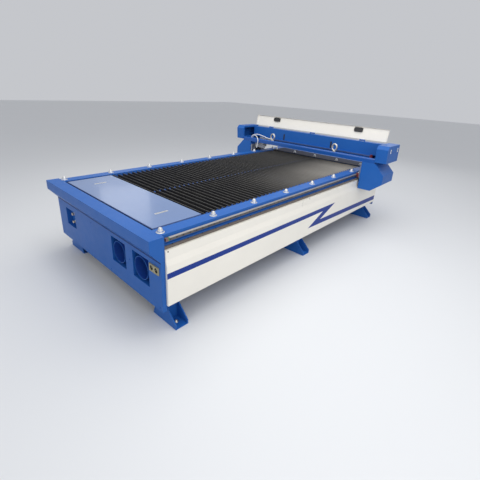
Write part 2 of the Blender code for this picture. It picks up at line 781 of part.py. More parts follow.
def underframe(blue, steel):
    """Cross tubes under the bed, and the tray that catches slag."""
    half = BEAM_INNER - FIT
    top = -SHELF_DROP - SHELF_THICKNESS - FIT
    for place, start in zip(("near", "middle", "far"), leg_starts()):
        y = start + (LEG_WIDTH - TUBE_SIZE) / 2
        tube = block(-half, half, y, y + TUBE_SIZE, top - TUBE_SIZE, top)
        bore = block(-half - OVERCUT, half + OVERCUT, y + TUBE_WALL, y + TUBE_SIZE - TUBE_WALL,
                     top - TUBE_SIZE + TUBE_WALL, top - TUBE_WALL)
        solid(f"cross_tube_{place}", tube, blue, [cut(bore)])
    floor = -BEAM_DEPTH + LIP_THICKNESS + FIT
    side = BEAM_INNER - TRAY_SIDE_GAP
    end = rear_deck_start()
    body = block(-side, side, TRAY_START, end, floor, floor + TRAY_HEIGHT)
    hollow = block(SHEET - side, side - SHEET, TRAY_START + SHEET, end - SHEET, floor + SHEET,
                   floor + TRAY_HEIGHT + OVERCUT)
    solid("slag_tray", body, steel, [cut(hollow)])


def back_of_gantry():
    """Rear face of the uprights."""
    return GANTRY_FRONT + GANTRY_DEPTH


def uprights(blue):
    """Cast uprights that hang over both sides of the table, with a bay for the motor."""
    outer = UPRIGHT_INNER + UPRIGHT_WIDTH
    outline = (
        (UPRIGHT_INNER, UPRIGHT_TOP), (outer - UPRIGHT_TOP_STEP, UPRIGHT_TOP),
        (outer, UPRIGHT_SHOULDER), (outer, -UPRIGHT_HIP),
        (outer - UPRIGHT_BOTTOM_STEP, -UPRIGHT_BOTTOM), (UPRIGHT_INNER, -UPRIGHT_BOTTOM),
    )
    bay_start = MOTOR_CENTRE_Y - MOTOR_BAY / 2
    bay_depth = pinion_axis_x() + PINION_RADIUS + PINION_MARGIN
    bay = block(UPRIGHT_INNER - OVERCUT, bay_depth, bay_start, bay_start + MOTOR_BAY,
                -UPRIGHT_BOTTOM - OVERCUT, MOTOR_TOP + FIT)
    glands = [rod("z", (-LONG_HOSE[0][0], LONG_HOSE[0][1]), GLAND_RADIUS, UPRIGHT_TOP - WELD,
                  UPRIGHT_TOP + GLAND_HEIGHT, 12),
              rod("z", (-SHORT_HOSE[0][0], SHORT_HOSE[0][1]), GLAND_RADIUS, UPRIGHT_TOP - WELD,
                  UPRIGHT_TOP + GLAND_HEIGHT, 12)]
    for side, hand in ((1, "right"), (-1, "left")):
        steps = [cut(bay)]
        if side < 0:
            steps.append(join(*glands))
        solid(f"gantry_upright_{hand}", prism("y", outline, GANTRY_FRONT, back_of_gantry()), blue,
              steps, side)


def end_boxes(blue):
    """Sheet boxes over the uprights, open through a window on their inner side."""
    outline = (
        (BOX_FRONT_LOW, BOX_FLOOR), (BOX_BACK_LOW, BOX_FLOOR), (BOX_BACK_TOP, BOX_TOP),
        (BOX_FRONT_TOP, BOX_TOP), (BOX_FRONT_CHIN, BOX_CHIN),
    )
    inner = (
        (BOX_FRONT_LOW + SHEET, BOX_FLOOR + SHEET), (BOX_BACK_LOW - SHEET, BOX_FLOOR + SHEET),
        (BOX_BACK_TOP - SHEET, BOX_TOP - SHEET), (BOX_FRONT_TOP + SHEET, BOX_TOP - SHEET),
        (BOX_FRONT_CHIN + SHEET, BOX_CHIN),
    )
    hollow = prism("x", inner, BOX_INNER + SHEET, BOX_OUTER - SHEET)
    foot = block(BOX_INNER - BOX_FOOT_REACH, BOX_INNER + SHEET / 2,
                 LONG_HOSE[0][1] + 2 * GLAND_RADIUS, back_of_gantry() - GLAND_RADIUS,
                 UPRIGHT_TOP + FIT, BOX_FLOOR + SHEET / 2)
    window = block(BOX_INNER - OVERCUT, BOX_INNER + 2 * SHEET, BOX_WINDOW_START,
                   BOX_WINDOW_START + BOX_WINDOW_LENGTH, BOX_WINDOW_FLOOR,
                   BOX_WINDOW_FLOOR + BOX_WINDOW_HEIGHT)
    for side, hand in ((1, "right"), (-1, "left")):
        solid(f"end_box_{hand}", prism("x", outline, BOX_INNER, BOX_OUTER), blue,
              [cut(hollow), join(foot), cut(window)], side)


def front_beam(glossy):
    """Square tube with rounded upper edges across the front of the gantry."""
    floor = UPRIGHT_TOP + FIT
    top = floor + FRONT_BEAM_SIZE
    start = GANTRY_FRONT
    end = start + FRONT_BEAM_SIZE
    outline = [(start, floor), (end, floor)]
    for turn in (0, 22.5, 45, 67.5, 90):
        angle = math.radians(turn)
        outline.append((end - FRONT_BEAM_ROUND * (1 - math.cos(angle)),
                        top - FRONT_BEAM_ROUND * (1 - math.sin(angle))))
    for turn in (90, 67.5, 45, 22.5, 0):
        angle = math.radians(turn)
        outline.append((start + FRONT_BEAM_ROUND * (1 - math.cos(angle)),
                        top - FRONT_BEAM_ROUND * (1 - math.sin(angle))))
    half = BOX_INNER - FIT
    bore = block(-half - OVERCUT, half + OVERCUT, start + FRONT_BEAM_WALL, end - FRONT_BEAM_WALL,
                 floor + FRONT_BEAM_WALL, top - FRONT_BEAM_WALL)
    long_end = LONG_HOSE[-1]
    short_end = SHORT_HOSE[-1]
    ports = [rod("y", (long_end[0], long_end[2]), GLAND_RADIUS, end - WELD, long_end[1] - FIT, 12),
             rod("z", (short_end[0], short_end[1]), GLAND_RADIUS, short_end[2] + FIT,
                 floor + WELD, 12)]
    solid("front_beam", prism("x", outline, -half, half), glossy, [cut(bore), join(*ports)],
          smooth=True)


def rear_beam(blue):
    """Box beam between the uprights that carries the cross slide."""
    half = UPRIGHT_INNER - FIT
    end = REAR_BEAM_FRONT + REAR_BEAM_DEPTH
    top = REAR_BEAM_FLOOR + REAR_BEAM_HEIGHT
    tube = block(-half, half, REAR_BEAM_FRONT, end, REAR_BEAM_FLOOR, top)
    bore = block(-half - OVERCUT, half + OVERCUT, REAR_BEAM_FRONT + TUBE_WALL, end - TUBE_WALL,
                 REAR_BEAM_FLOOR + TUBE_WALL, top - TUBE_WALL)
    solid("rear_beam", tube, blue, [cut(bore)])


def hinge_spots():
    """Left and right ends of each hinge barrel."""
    half = HINGE_BARREL_LENGTH / 2
    return [(x - half, x + half) for x in HINGE_LINES]


def back_wall(blue):
    """Folded wall behind the slide, with two slots and the ears and pins of the hinge."""
    floor = REAR_BEAM_FLOOR + REAR_BEAM_HEIGHT + FIT
    back = back_of_gantry() + FIT + WALL_SHEET
    path = [(WALL_FRONT, floor), (WALL_FRONT, WALL_TOP), (back, WALL_TOP),
            (back, REAR_BEAM_FLOOR)]
    half = BOX_INNER - FIT
    outline = folded(path, -WALL_SHEET)
    slots = [block(x - WALL_SLOT_WIDTH / 2, x + WALL_SLOT_WIDTH / 2, WALL_FRONT - OVERCUT,
                   WALL_FRONT + OVERCUT, max(WALL_SLOT_LOW, floor + WALL_SHEET), WALL_SLOT_HIGH)
             for x in WALL_SLOTS]
    ears = []
    pins = []
    ear = ((HINGE_Y - HINGE_BARREL_RADIUS, WALL_TOP - WALL_SHEET / 2),
           (HINGE_Y + HINGE_BARREL_RADIUS, WALL_TOP - WALL_SHEET / 2),
           (HINGE_Y + HINGE_BARREL_RADIUS / 2, HINGE_Z + HINGE_BARREL_RADIUS),
           (HINGE_Y - HINGE_BARREL_RADIUS / 2, HINGE_Z + HINGE_BARREL_RADIUS))
    for left, right in hinge_spots():
        ears.append(prism("x", ear, left - FIT - HINGE_EAR, left - FIT))
        ears.append(prism("x", ear, right + FIT, right + FIT + HINGE_EAR))
        pins.append(rod("x", (HINGE_Y, HINGE_Z), HINGE_PIN_RADIUS, left - HINGE_EAR / 2,
                        right + HINGE_EAR / 2, 12))
    solid("back_wall", prism("x", outline, -half, half), blue,
          [cut(*slots), join(*ears), join(*pins)])


def lid(cream, black):
    """Folded lid drawn closed and turned open about its hinge, with two grip cups."""
    pivot = (0.0, HINGE_Y, HINGE_Z)
    tilt = -math.radians(LID_OPEN_DEG)
    front = HINGE_Y - LID_LENGTH
    back = HINGE_Y - HINGE_BARREL_RADIUS - LID_EDGE_GAP
    top = HINGE_Z + HINGE_BARREL_RADIUS
    half = BOX_INNER - LID_SIDE_GAP
    plate = block(-half, half, front, back, top - LID_FLANGE, top)
    hollow = block(LID_SHEET - half, half - LID_SHEET, front + LID_SHEET, back + OVERCUT,
                   top - LID_FLANGE - OVERCUT, top - LID_SHEET)
    tongues = []
    bores = []
    for left, right in hinge_spots():
        tongue = [(back - WELD, top), (back - WELD, top - LID_SHEET)]
        tongue += [(HINGE_Y + HINGE_BARREL_RADIUS * math.sin(math.radians(turn)),
                    HINGE_Z + HINGE_BARREL_RADIUS * math.cos(math.radians(turn)))
                   for turn in (-50, -90, -135, 180, 135, 90, 45, 0)]
        tongues.append(prism("x", tongue, left, right))
        bores.append(rod("x", (HINGE_Y, HINGE_Z), HINGE_PIN_RADIUS + FIT, left - OVERCUT,
                         right + OVERCUT, 12))
    cup_y = front + LID_HANDLE_FROM_EDGE
    seats = [block(sign * LID_HANDLE_X - LID_HANDLE_WIDTH / 2 - FIT,
                   sign * LID_HANDLE_X + LID_HANDLE_WIDTH / 2 + FIT,
                   cup_y - LID_HANDLE_HEIGHT / 2 - FIT, cup_y + LID_HANDLE_HEIGHT / 2 + FIT,
                   top - OVERCUT, top + OVERCUT) for sign in (-1, 1)]
    solid("lid", plate, cream, [cut(hollow), join(*tongues), cut(*bores), cut(*seats)],
          pivot=pivot, tilt=tilt)
    for sign, hand in ((1, "right"), (-1, "left")):
        x = sign * LID_HANDLE_X
        cup = block(x - LID_HANDLE_WIDTH / 2, x + LID_HANDLE_WIDTH / 2, cup_y - LID_HANDLE_HEIGHT / 2,
                    cup_y + LID_HANDLE_HEIGHT / 2, top - LID_HANDLE_DEPTH, top)
        inside = block(x - LID_HANDLE_WIDTH / 2 + SHEET, x + LID_HANDLE_WIDTH / 2 - SHEET,
                       cup_y - LID_HANDLE_HEIGHT / 2 + SHEET, cup_y + LID_HANDLE_HEIGHT / 2 - SHEET,
                       top - LID_HANDLE_DEPTH + SHEET, top + OVERCUT)
        solid(f"lid_grip_{hand}", cup, black, [cut(inside)], pivot=pivot, tilt=tilt)


def lifting_eyes(zinc):
    """Eye bolts that stand on the front beam."""
    seat = UPRIGHT_TOP + FRONT_BEAM_SIZE + 2 * FIT
    y = GANTRY_FRONT + FRONT_BEAM_SIZE / 2
    neck = EYE_CENTRE - EYE_RING * EYE_STRETCH
    for side, hand in ((1, "right"), (-1, "left")):
        collar = turned([(EYE_COLLAR_RADIUS, seat), (EYE_COLLAR_RADIUS, seat + EYE_COLLAR_HEIGHT),
                         (EYE_WIRE, neck)], (EYE_X, y), 14)
        eye = ring((EYE_X, y, EYE_CENTRE), EYE_RING, EYE_WIRE, EYE_STRETCH)
        solid(f"lifting_eye_{hand}", eye, zinc, [join(collar)], side, smooth=True)


def pinion_axis_x():
    """Distance of the drive axis from the centre line."""
    return BEAM_OUTER + RACK_DEPTH + PINION_MESH + PINION_RADIUS


def y_drives(steel, grey, dark):
    """Guide blocks on their plate, motor and pinion at each upright."""
    plate_inner = BEAM_OUTER + FIT + BLOCK_HEIGHT
    plate_outer = UPRIGHT_INNER - FIT
    middle = -RAIL_DROP - RAIL_WIDTH / 2
    axis_x = pinion_axis_x()
    bay = MOTOR_CENTRE_Y - MOTOR_BAY / 2
    foot = -MOTOR_FOOT
    start = GANTRY_FRONT + BLOCK_MARGIN
    end = back_of_gantry() - BLOCK_MARGIN
    plate = block(plate_inner, plate_outer, start, end, -CARRIAGE_BOTTOM, CARRIAGE_TOP)
    window = block(plate_inner - OVERCUT, plate_outer + OVERCUT, bay, bay + MOTOR_BAY,
                   -CARRIAGE_BOTTOM - OVERCUT, MOTOR_TOP + FIT)
    rail_foot = BEAM_OUTER + FIT + RAIL_FOOT
    blocks = [block(rail_foot, plate_inner + WELD, y, y + BLOCK_LENGTH, middle - BLOCK_WIDTH / 2,
                    middle + BLOCK_WIDTH / 2) for y in (start, end - BLOCK_LENGTH)]
    reach = RAIL_WIDTH / 2 + FIT
    groove = block(rail_foot - OVERCUT, BEAM_OUTER + RAIL_HEIGHT + FIT, start - OVERCUT, end + OVERCUT,
                   middle - reach, middle + reach)
    body = block(axis_x - MOTOR_SIZE / 2, axis_x + MOTOR_SIZE / 2, MOTOR_CENTRE_Y - MOTOR_SIZE / 2,
                 MOTOR_CENTRE_Y + MOTOR_SIZE / 2, foot + MOTOR_FLANGE / 2, MOTOR_TOP)
    flange = block(axis_x - MOTOR_SIZE / 2 + WELD, axis_x + MOTOR_SIZE / 2, bay + FIT,
                   bay + MOTOR_BAY - FIT, foot, foot + MOTOR_FLANGE)
    centre = (axis_x, MOTOR_CENTRE_Y)
    shaft = rod("z", centre, PINION_SHAFT, -RACK_DROP - RACK_HEIGHT, foot + MOTOR_FLANGE / 2, 16)
    gear_top = -RACK_DROP - (RACK_HEIGHT - PINION_HEIGHT) / 2
    gear_low = gear_top - PINION_HEIGHT
    gear = prism("z", gear_outline((0.0, 0.0), PINION_RADIUS, PINION_TOOTH, PINION_TEETH),
                 gear_low, gear_top)
    bore = rod("z", (0.0, 0.0), PINION_SHAFT + FIT, gear_low - OVERCUT, gear_top + OVERCUT, 16)
    for side, hand in ((1, "right"), (-1, "left")):
        solid(f"y_carriage_{hand}", plate, steel, [cut(window), join(*blocks), cut(groove)], side)
        solid(f"y_motor_{hand}", flange, dark, [join(body), join(shaft)], side)
        pivot = (side * axis_x, MOTOR_CENTRE_Y, 0.0)
        moved = [([(x + side * axis_x, y + MOTOR_CENTRE_Y, z) for x, y, z in shell[0]], shell[1])
                 for shell in (gear, bore)]
        solid(f"y_pinion_{hand}", moved[0], grey, [cut(moved[1])], pivot=pivot)


def cross_rails(steel, tan):
    """Two rails and a rack on the front of the rear beam."""
    half = UPRIGHT_INNER - 2 * FIT
    back = REAR_BEAM_FRONT - FIT
    front = back - X_RAIL_DEPTH
    for rise, place in zip(X_RAIL_RISES, ("lower", "upper")):
        floor = REAR_BEAM_FLOOR + rise
        solid(f"x_rail_{place}", block(-half, half, front, back, floor, floor + X_RAIL_SIZE), steel)
    floor = REAR_BEAM_FLOOR + X_RACK_RISE
    solid("x_rack", block(-half, half, front, back, floor, floor + X_RACK_HEIGHT), tan)


def head_x():
    """Line of the cutting head across the machine."""
    return CARRIAGE_LEFT + HEAD_FROM_LEFT


def x_carriage(grey, dark, steel):
    """Plate on four guide blocks, with gibs for the head, motors and a pinion."""
    face = CARRIAGE_FACE
    back = face + CARRIAGE_PLATE
    right = CARRIAGE_LEFT + CARRIAGE_WIDTH
    top = CARRIAGE_FLOOR + CARRIAGE_HEIGHT
    plate = block(CARRIAGE_LEFT, right, face, back, CARRIAGE_FLOOR, top)
    blocks = []
    grooves = []
    rail_front = REAR_BEAM_FRONT - FIT - X_RAIL_DEPTH
    block_back = REAR_BEAM_FRONT - X_BLOCK_GAP
    for rise in X_RAIL_RISES:
        low = REAR_BEAM_FLOOR + rise
        high = low + X_RAIL_SIZE
        for x in (CARRIAGE_LEFT, right - X_BLOCK_LENGTH):
            blocks.append(block(x, x + X_BLOCK_LENGTH, back - WELD, block_back,
                                low - X_BLOCK_WALL, high + X_BLOCK_WALL))
        grooves.append(block(CARRIAGE_LEFT - OVERCUT, right + OVERCUT, rail_front - FIT,
                             block_back + OVERCUT, low - FIT, high + FIT))
    gibs = []
    for sign in (-1, 1):
        inner = head_x() + sign * (HEAD_PLATE_WIDTH / 2 + FIT)
        outer = inner + sign * HEAD_GIB
        gibs.append(block(min(inner, outer), max(inner, outer), face - HEAD_BACK, face + WELD,
                          CARRIAGE_FLOOR, top))
    axis_x = CARRIAGE_LEFT + X_MOTOR_FROM_LEFT
    axis_z = REAR_BEAM_FLOOR + X_RACK_RISE - PINION_MESH - X_PINION_RADIUS
    hole = rod("y", (axis_x, axis_z), X_SHAFT + X_SHAFT_ROOM, face - OVERCUT, back + OVERCUT,
               12)
    solid("x_carriage", plate, grey, [join(*blocks), join(*gibs), cut(*grooves), cut(hole)])

    half = X_MOTOR_SIZE / 2
    body = block(axis_x - half, axis_x + half, face - FIT - X_MOTOR_LENGTH, face - FIT,
                 axis_z - half, axis_z + half)
    gear_back = REAR_BEAM_FRONT - 2 * FIT
    shaft = rod("y", (axis_x, axis_z), X_SHAFT, face - FIT - WELD, gear_back, 12)
    solid("x_motor", body, dark, [join(shaft)])
    gear = [(x + axis_x, z + axis_z) for x, z in
            gear_outline((0.0, 0.0), X_PINION_RADIUS, X_PINION_TOOTH, X_PINION_TEETH)]
    bore = rod("y", (axis_x, axis_z), X_SHAFT + FIT, rail_front - OVERCUT, gear_back + OVERCUT, 12)
    solid("x_pinion", prism("y", gear, rail_front, gear_back), steel, [cut(bore)],
          pivot=(axis_x, rail_front, axis_z))

    left = head_x() + HEAD_PLATE_WIDTH / 2 + HEAD_GIB + 2 * FIT
    low = CARRIAGE_FLOOR + CARRIAGE_HEIGHT / 2 - Z_MOTOR_HEIGHT / 2
    solid("z_motor", block(left, left + Z_MOTOR_SIZE, face - FIT - Z_MOTOR_SIZE, face - FIT, low,
                           low + Z_MOTOR_HEIGHT), dark)


def laser_head(grey, brass):
    """Cutting head on its sliding plate, with a tapered skirt and the nozzle."""
    x = head_x()
    back = CARRIAGE_FACE - FIT
    front = back - HEAD_BACK
    half = HEAD_SIZE / 2
    y = front - half
    plate = block(x - HEAD_PLATE_WIDTH / 2, x + HEAD_PLATE_WIDTH / 2, front, back, HEAD_FLOOR,
                  HEAD_TOP)
    body = block(x - half, x + half, front - HEAD_SIZE, front + WELD, HEAD_FLOOR + WELD,
                 HEAD_TOP - HEAD_BODY_DROP)
    neck = rod("z", (x, y), HEAD_NECK_RADIUS, HEAD_NECK_FLOOR, HEAD_FLOOR + 2 * WELD, 16)
    skirt_front = front - HEAD_SIZE - SKIRT_SHEET
    skirt = prism("y", ((x - SKIRT_FOOT / 2, SKIRT_FLOOR), (x + SKIRT_FOOT / 2, SKIRT_FLOOR),
                        (x + SKIRT_WIDTH / 2, SKIRT_TOP), (x - SKIRT_WIDTH / 2, SKIRT_TOP)),
                  skirt_front, skirt_front + SKIRT_SHEET + WELD)
    solid("laser_head", plate, grey, [join(body), join(neck), join(skirt)])
    tip = turned([(NOZZLE_TIP, NOZZLE_FLOOR), (NOZZLE_RADIUS, HEAD_NECK_FLOOR - NOZZLE_COLLAR),
                  (NOZZLE_RADIUS, HEAD_NECK_FLOOR - FIT)], (x, y), 16)
    bore = rod("z", (x, y), NOZZLE_TIP / 2, NOZZLE_FLOOR - OVERCUT, HEAD_NECK_FLOOR + OVERCUT, 8)
    solid("nozzle", tip, brass, [cut(bore)], smooth=True)


def smooth_route(route, step):
    """Evenly spaced points on a smooth curve through the route."""
    points = [Vector(p) for p in route]
    ends = [points[0] * 2 - points[1]] + points + [points[-1] * 2 - points[-2]]
    fine = []
    for a, b, c, d in zip(ends, ends[1:], ends[2:], ends[3:]):
        for k in range(20):
            t = k / 20
            fine.append(0.5 * (2 * b + (c - a) * t + (2 * a - 5 * b + 4 * c - d) * t * t
                               + (3 * b - a - 3 * c + d) * t ** 3))
    fine.append(points[-1])
    lengths = [0.0]
    for a, b in zip(fine, fine[1:]):
        lengths.append(lengths[-1] + (b - a).length)
    count = round(lengths[-1] / step)
    spaced = [fine[0]]
    k = 0
    for i in range(1, count):
        target = lengths[-1] * i / count
        while lengths[k + 1] < target:
            k += 1
        share = (target - lengths[k]) / (lengths[k + 1] - lengths[k])
        spaced.append(fine[k].lerp(fine[k + 1], share))
    spaced.append(fine[-1])
    return spaced


def hose(name, route, white):
    """Air hose between two fittings."""
    curve = bpy.data.curves.new(name, "CURVE")
    curve.dimensions = "3D"
    curve.bevel_depth = HOSE_RADIUS
    curve.bevel_resolution = 2
    curve.use_fill_caps = True
    points = smooth_route(route, HOSE_STEP)
    spline = curve.splines.new("POLY")
    spline.points.add(len(points) - 1)
    for spot, point in zip(spline.points, points):
        spot.co = (*point, 1.0)
    curve.materials.append(white)
    put(name, curve, (0.0, 0.0, 0.0))


def main():
    """Build the machine from the floor up."""
    clear_scene()
    blue = paint("blue_paint", (0.055, 0.150, 0.520), 0.35)
    glossy = paint("glossy_blue_paint", (0.130, 0.260, 0.620), 0.15)
    cream = paint("cream_paint", (0.800, 0.790, 0.740), 0.40)
    black = paint("scaled_steel", (0.020, 0.020, 0.022), 0.55, 0.3)
    plastic = paint("black_plastic", (0.015, 0.015, 0.017), 0.45)
    steel = paint("ground_steel", (0.620, 0.620, 0.630), 0.25, 1.0)
    zinc = paint("zinc_plate", (0.720, 0.700, 0.650), 0.35, 1.0)
    tan = paint("rack_steel", (0.250, 0.190, 0.150), 0.45, 0.6)
    grey = paint("grey_metal", (0.330, 0.340, 0.360), 0.40, 0.4)
    beige = paint("beige_plastic", (0.620, 0.560, 0.440), 0.45)
    brass = paint("brass", (0.600, 0.430, 0.180), 0.30, 1.0)
    white = paint("white_tube", (0.780, 0.780, 0.770), 0.35)

    side_beams(blue)
    legs(blue)
    underframe(blue, black)
    end_hood(blue)
    end_panel(blue)
    exhaust_ducts(blue)
    gas_fittings(zinc)
    socket_plate(beige)
    cover_plate(glossy)
    slat_bed(black, blue)
    rear_deck(blue)
    rear_cover(blue)
    side_panels(cream)
    rails_and_racks(steel, tan)

    uprights(blue)
    end_boxes(blue)
    front_beam(glossy)
    rear_beam(blue)
    back_wall(blue)
    lid(cream, plastic)
    lifting_eyes(zinc)
    y_drives(steel, tan, plastic)
    cross_rails(steel, tan)
    x_carriage(grey, plastic, tan)
    laser_head(grey, brass)
    hose("hose_long", LONG_HOSE, white)
    hose("hose_short", SHORT_HOSE, white)


main()
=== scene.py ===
import math

import bmesh
import bpy
from mathutils import Matrix, Vector


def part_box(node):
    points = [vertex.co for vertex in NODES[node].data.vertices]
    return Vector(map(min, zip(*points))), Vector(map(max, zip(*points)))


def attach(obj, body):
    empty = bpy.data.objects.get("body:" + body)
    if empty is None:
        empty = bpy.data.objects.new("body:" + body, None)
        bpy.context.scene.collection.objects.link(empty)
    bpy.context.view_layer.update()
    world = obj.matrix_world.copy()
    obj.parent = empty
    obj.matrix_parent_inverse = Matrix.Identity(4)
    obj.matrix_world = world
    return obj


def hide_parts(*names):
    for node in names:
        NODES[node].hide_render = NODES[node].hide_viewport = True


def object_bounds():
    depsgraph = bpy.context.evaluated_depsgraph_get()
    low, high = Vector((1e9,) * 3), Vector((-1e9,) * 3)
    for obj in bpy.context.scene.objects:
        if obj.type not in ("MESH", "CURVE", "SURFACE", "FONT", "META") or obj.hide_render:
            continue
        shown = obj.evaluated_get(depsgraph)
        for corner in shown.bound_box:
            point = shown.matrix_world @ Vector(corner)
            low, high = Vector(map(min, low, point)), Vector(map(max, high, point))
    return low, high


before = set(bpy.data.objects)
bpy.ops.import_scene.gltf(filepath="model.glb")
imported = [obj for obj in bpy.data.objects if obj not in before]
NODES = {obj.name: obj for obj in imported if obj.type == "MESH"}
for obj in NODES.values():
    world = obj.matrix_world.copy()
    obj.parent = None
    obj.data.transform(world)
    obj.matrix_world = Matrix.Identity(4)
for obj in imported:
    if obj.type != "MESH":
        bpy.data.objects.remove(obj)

CAD_LOW, CAD_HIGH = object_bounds()
SIDES = ((1, "right"), (-1, "left"))

# Datum of the drawing: the near face of the end hood, and the table top
NEAR = CAD_LOW[1]
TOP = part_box("end_hood")[1].z

# Camera, fitted to the photograph
CAMERA_PLACE = (2.6615, NEAR - 1.0149, TOP + 0.9664)
CAMERA_YAW = 42.1247
CAMERA_PITCH = 21.055
CAMERA_ROLL = 2.954
CAMERA_LENS = 24.284
CAMERA_SENSOR = 36.0
CAMERA_SHIFT_Y = -0.0552

# Studio; each lamp has a name, place, target, size and power
FLOOR_REACH = 30.0
FLOOR_COLOUR = (0.72, 0.73, 0.74)
WORLD_COLOUR = (0.93, 0.95, 1.0)
WORLD_STRENGTH = 0.60
LAMPS = (
    ("ceiling_lamp", (0.5, 0.0, 4.2), (0, 0, 0.6), (4.5, 5.5), 95),
    ("side_lamp", (4.5, -2.5, 3.0), (0, -0.5, 0.6), (3.0, 3.0), 62),
    ("front_lamp", (0.6, -6.5, 3.0), (0.0, 1.2, 1.0), (4.0, 2.5), 35),
    ("gantry_lamp", (0.5, -1.4, 3.5), (0.0, 1.5, 1.0), (3.0, 1.5), 32),
    ("back_lamp", (-0.6, 6.2, 3.2), (0.0, 1.6, 0.7), (4.0, 2.0), 26),
    ("window_lamp", (-4.2, 0.5, 2.6), (0.2, -1.75, 0.8), (1.1, 1.0), 3.4),
)

# Air hoses, each from a gland on the left upright to a fitting on the front beam
HOSE_DIAMETER = 0.012
HOSE_STEP = 0.006
ROUTE_STEPS = 20
LONG_HOSE = (
    (-1.045, 3.270, 0.1683),
    (-1.045, 3.270, 0.186),
    (-1.0395, 3.270, 0.209),
    (-1.022, 3.270, 0.228),
    (-0.975, 3.270, 0.253),
    (-0.905, 3.270, 0.266),
    (-0.800, 3.270, 0.253),
    (-0.735, 3.274, 0.2375),
    (-0.704, 3.281, 0.229),
    (-0.679, 3.300, 0.220),
    (-0.654, 3.319, 0.2115),
    (-0.623, 3.3263, 0.203),
    (-0.599, 3.3199, 0.197),
    (-0.5814, 3.3023, 0.192),
    (-0.575, 3.2803, 0.190),
    (-0.575, 3.2623, 0.190),
)
SHORT_HOSE = (
    (-1.015, 3.268, 0.1683),
    (-1.015, 3.268, 0.186),
    (-1.0095, 3.2662, 0.209),
    (-0.9934, 3.2605, 0.227),
    (-0.955, 3.246, 0.243),
    (-0.905, 3.222, 0.248),
    (-0.845, 3.187, 0.230),
    (-0.808, 3.168, 0.192),
    (-0.803, 3.160, 0.138),
    (-0.803, 3.160, 0.1117),
    (-0.8082, 3.1638, 0.0877),
    (-0.8222, 3.1744, 0.0701),
    (-0.8415, 3.1887, 0.0637),
    (-0.8607, 3.2031, 0.0701),
    (-0.8748, 3.2136, 0.0877),
    (-0.880, 3.2174, 0.110),
    (-0.880, 3.2174, 0.1317),
)

# Ball units: a washer under a pressed flange, the cup round the ball, and the ball
BALL_LINE = 0.867
BALL_FIRST = 0.146
BALL_PITCH = 0.5027
BALL_COUNT = 8
BALL_TOP = 0.038
BALL_RADIUS = 0.0163
BALL_CREST = 0.0003
BALL_GAP = 0.0006
BALL_LIP = 0.001
BALL_CUP_WALL = 0.0034
BALL_CUP_FOOT = 0.002
BALL_CUP_RISE = 0.005
BALL_FLANGE = 0.0263
BALL_FLANGE_HEIGHT = 0.0093
BALL_CHAMFER = 0.001
BALL_WASHER = 0.0310
BALL_WASHER_HEIGHT = 0.0026
BALL_COLLAR = 0.0012
BALL_COLLAR_HEIGHT = 0.0040
BALL_SEAT = -0.0002
BALL_ARC_DEGREES = range(5, 90, 10)
BALL_SEGMENTS = 28
REAR_BALL_COUNT = 5
REAR_BALL_PITCH = 0.385
REAR_BALL_SETBACK = 0.05

# Linear rails: screw holes, and a stop and a cap at each end; reaches run along the rail from its end
HOLE_PITCH = 0.060
HOLE_PROFILE = ((0.0066, -0.001), (0.0066, 0.00015))
RAIL_END_DEPTH = 0.021
RAIL_END_LIFT = 0.0008
RAIL_STOP_REACH = (-0.003, 0.020)
RAIL_STOP_HALF = 0.0118
RAIL_CAP_REACH = (0.020, 0.028)
RAIL_CAP_HALF = 0.0122

# Racks; a tooth's outline is (share of the pitch, share of the tooth's depth)
RACK_PITCH = 0.00628
RACK_TOOTH = 0.0036
TOOTH_OUTLINE = ((0.0, 0.0), (0.16, 1.0), (0.50, 1.0), (0.66, 0.0))
RACK_SCREW_FIRST = 0.08
RACK_SCREW_PITCH = 0.14
RACK_SCREW_INSET = 0.012
RACK_SCREW_SIZE = (0.0040, 0.0030)

# Stripe on the side panels: corners as (distance from the near end, drop from the table top)
STRIPE_UPPER_START = (0.1205, 0.284)
STRIPE_TIP = (2.597, 0.290)
STRIPE_HEEL = (2.270, 0.427)
STRIPE_TOE = (2.014, 0.474)
STRIPE_NOTCH = (2.315, 0.337)
STRIPE_LOWER_START = (0.1205, 0.330)
STRIPE_END_DROPS = (0.460, 0.526)
STRIPE_END_GAP = 0.01
STRIPE_SINK = 0.0001
STRIPE_LIFT = 0.0004

# Rims of the exhaust ducts, and the socket plate's outlets and bead
RIM_INSET = 0.0005
RIM_SETBACK = 0.001
RIM_WIRE = 0.0028
WELL_PROFILE = ((0.0200, 0.0), (0.0200, 0.0008), (0.0180, 0.0012), (0.0170, 0.0002), (0.0, 0.0002))
WELL_SETBACK = 0.0052
PIN_PROFILE = ((0.0026, 0.0), (0.0026, 0.0012), (0.0, 0.0012))
PIN_SETBACK = 0.0050
PIN_SPOTS = ((-0.0065, 0.0), (0.0065, 0.0), (0.0, 0.0085))
BEAD_INSET = 0.003
BEAD_WIDTH = 0.0022
BEAD_DEPTH = 0.0012
BEAD_LIFT = 0.0008

# End panel: screws (radius, height), holes, and the strip of painted shadow under the hood
END_SCREW_SIZE = (0.0045, 0.0035)
END_SCREW_INSET = 0.035
END_SCREW_RISE = 0.028
END_SCREW_X = (-0.30, 0.16)
END_SCREW_SPOTS = ((-0.17, -0.245), (0.505, -0.345))
END_HOLE_PROFILE = ((0.005, -0.001), (0.005, 0.0002))
END_HOLE_INSETS = (0.06, 0.075)
END_HOLE_Z = -0.228
HOOD_SHADOW_INSET = 0.004
HOOD_SHADOW_DEPTH = (-0.0012, 0.0015)
HOOD_SHADOW_DROP = (0.0090, 0.0005)

# Gas inlets: hexagon nuts and turned collars
NUT_PROFILE = ((0.0170, 0.0), (0.0170, 0.011), (0.0150, 0.0125))
NUT_SETBACK = 0.012
COLLAR_PROFILE = ((0.0150, 0.0), (0.0150, 0.004), (0.0142, 0.005))
COLLAR_SETBACK = 0.009
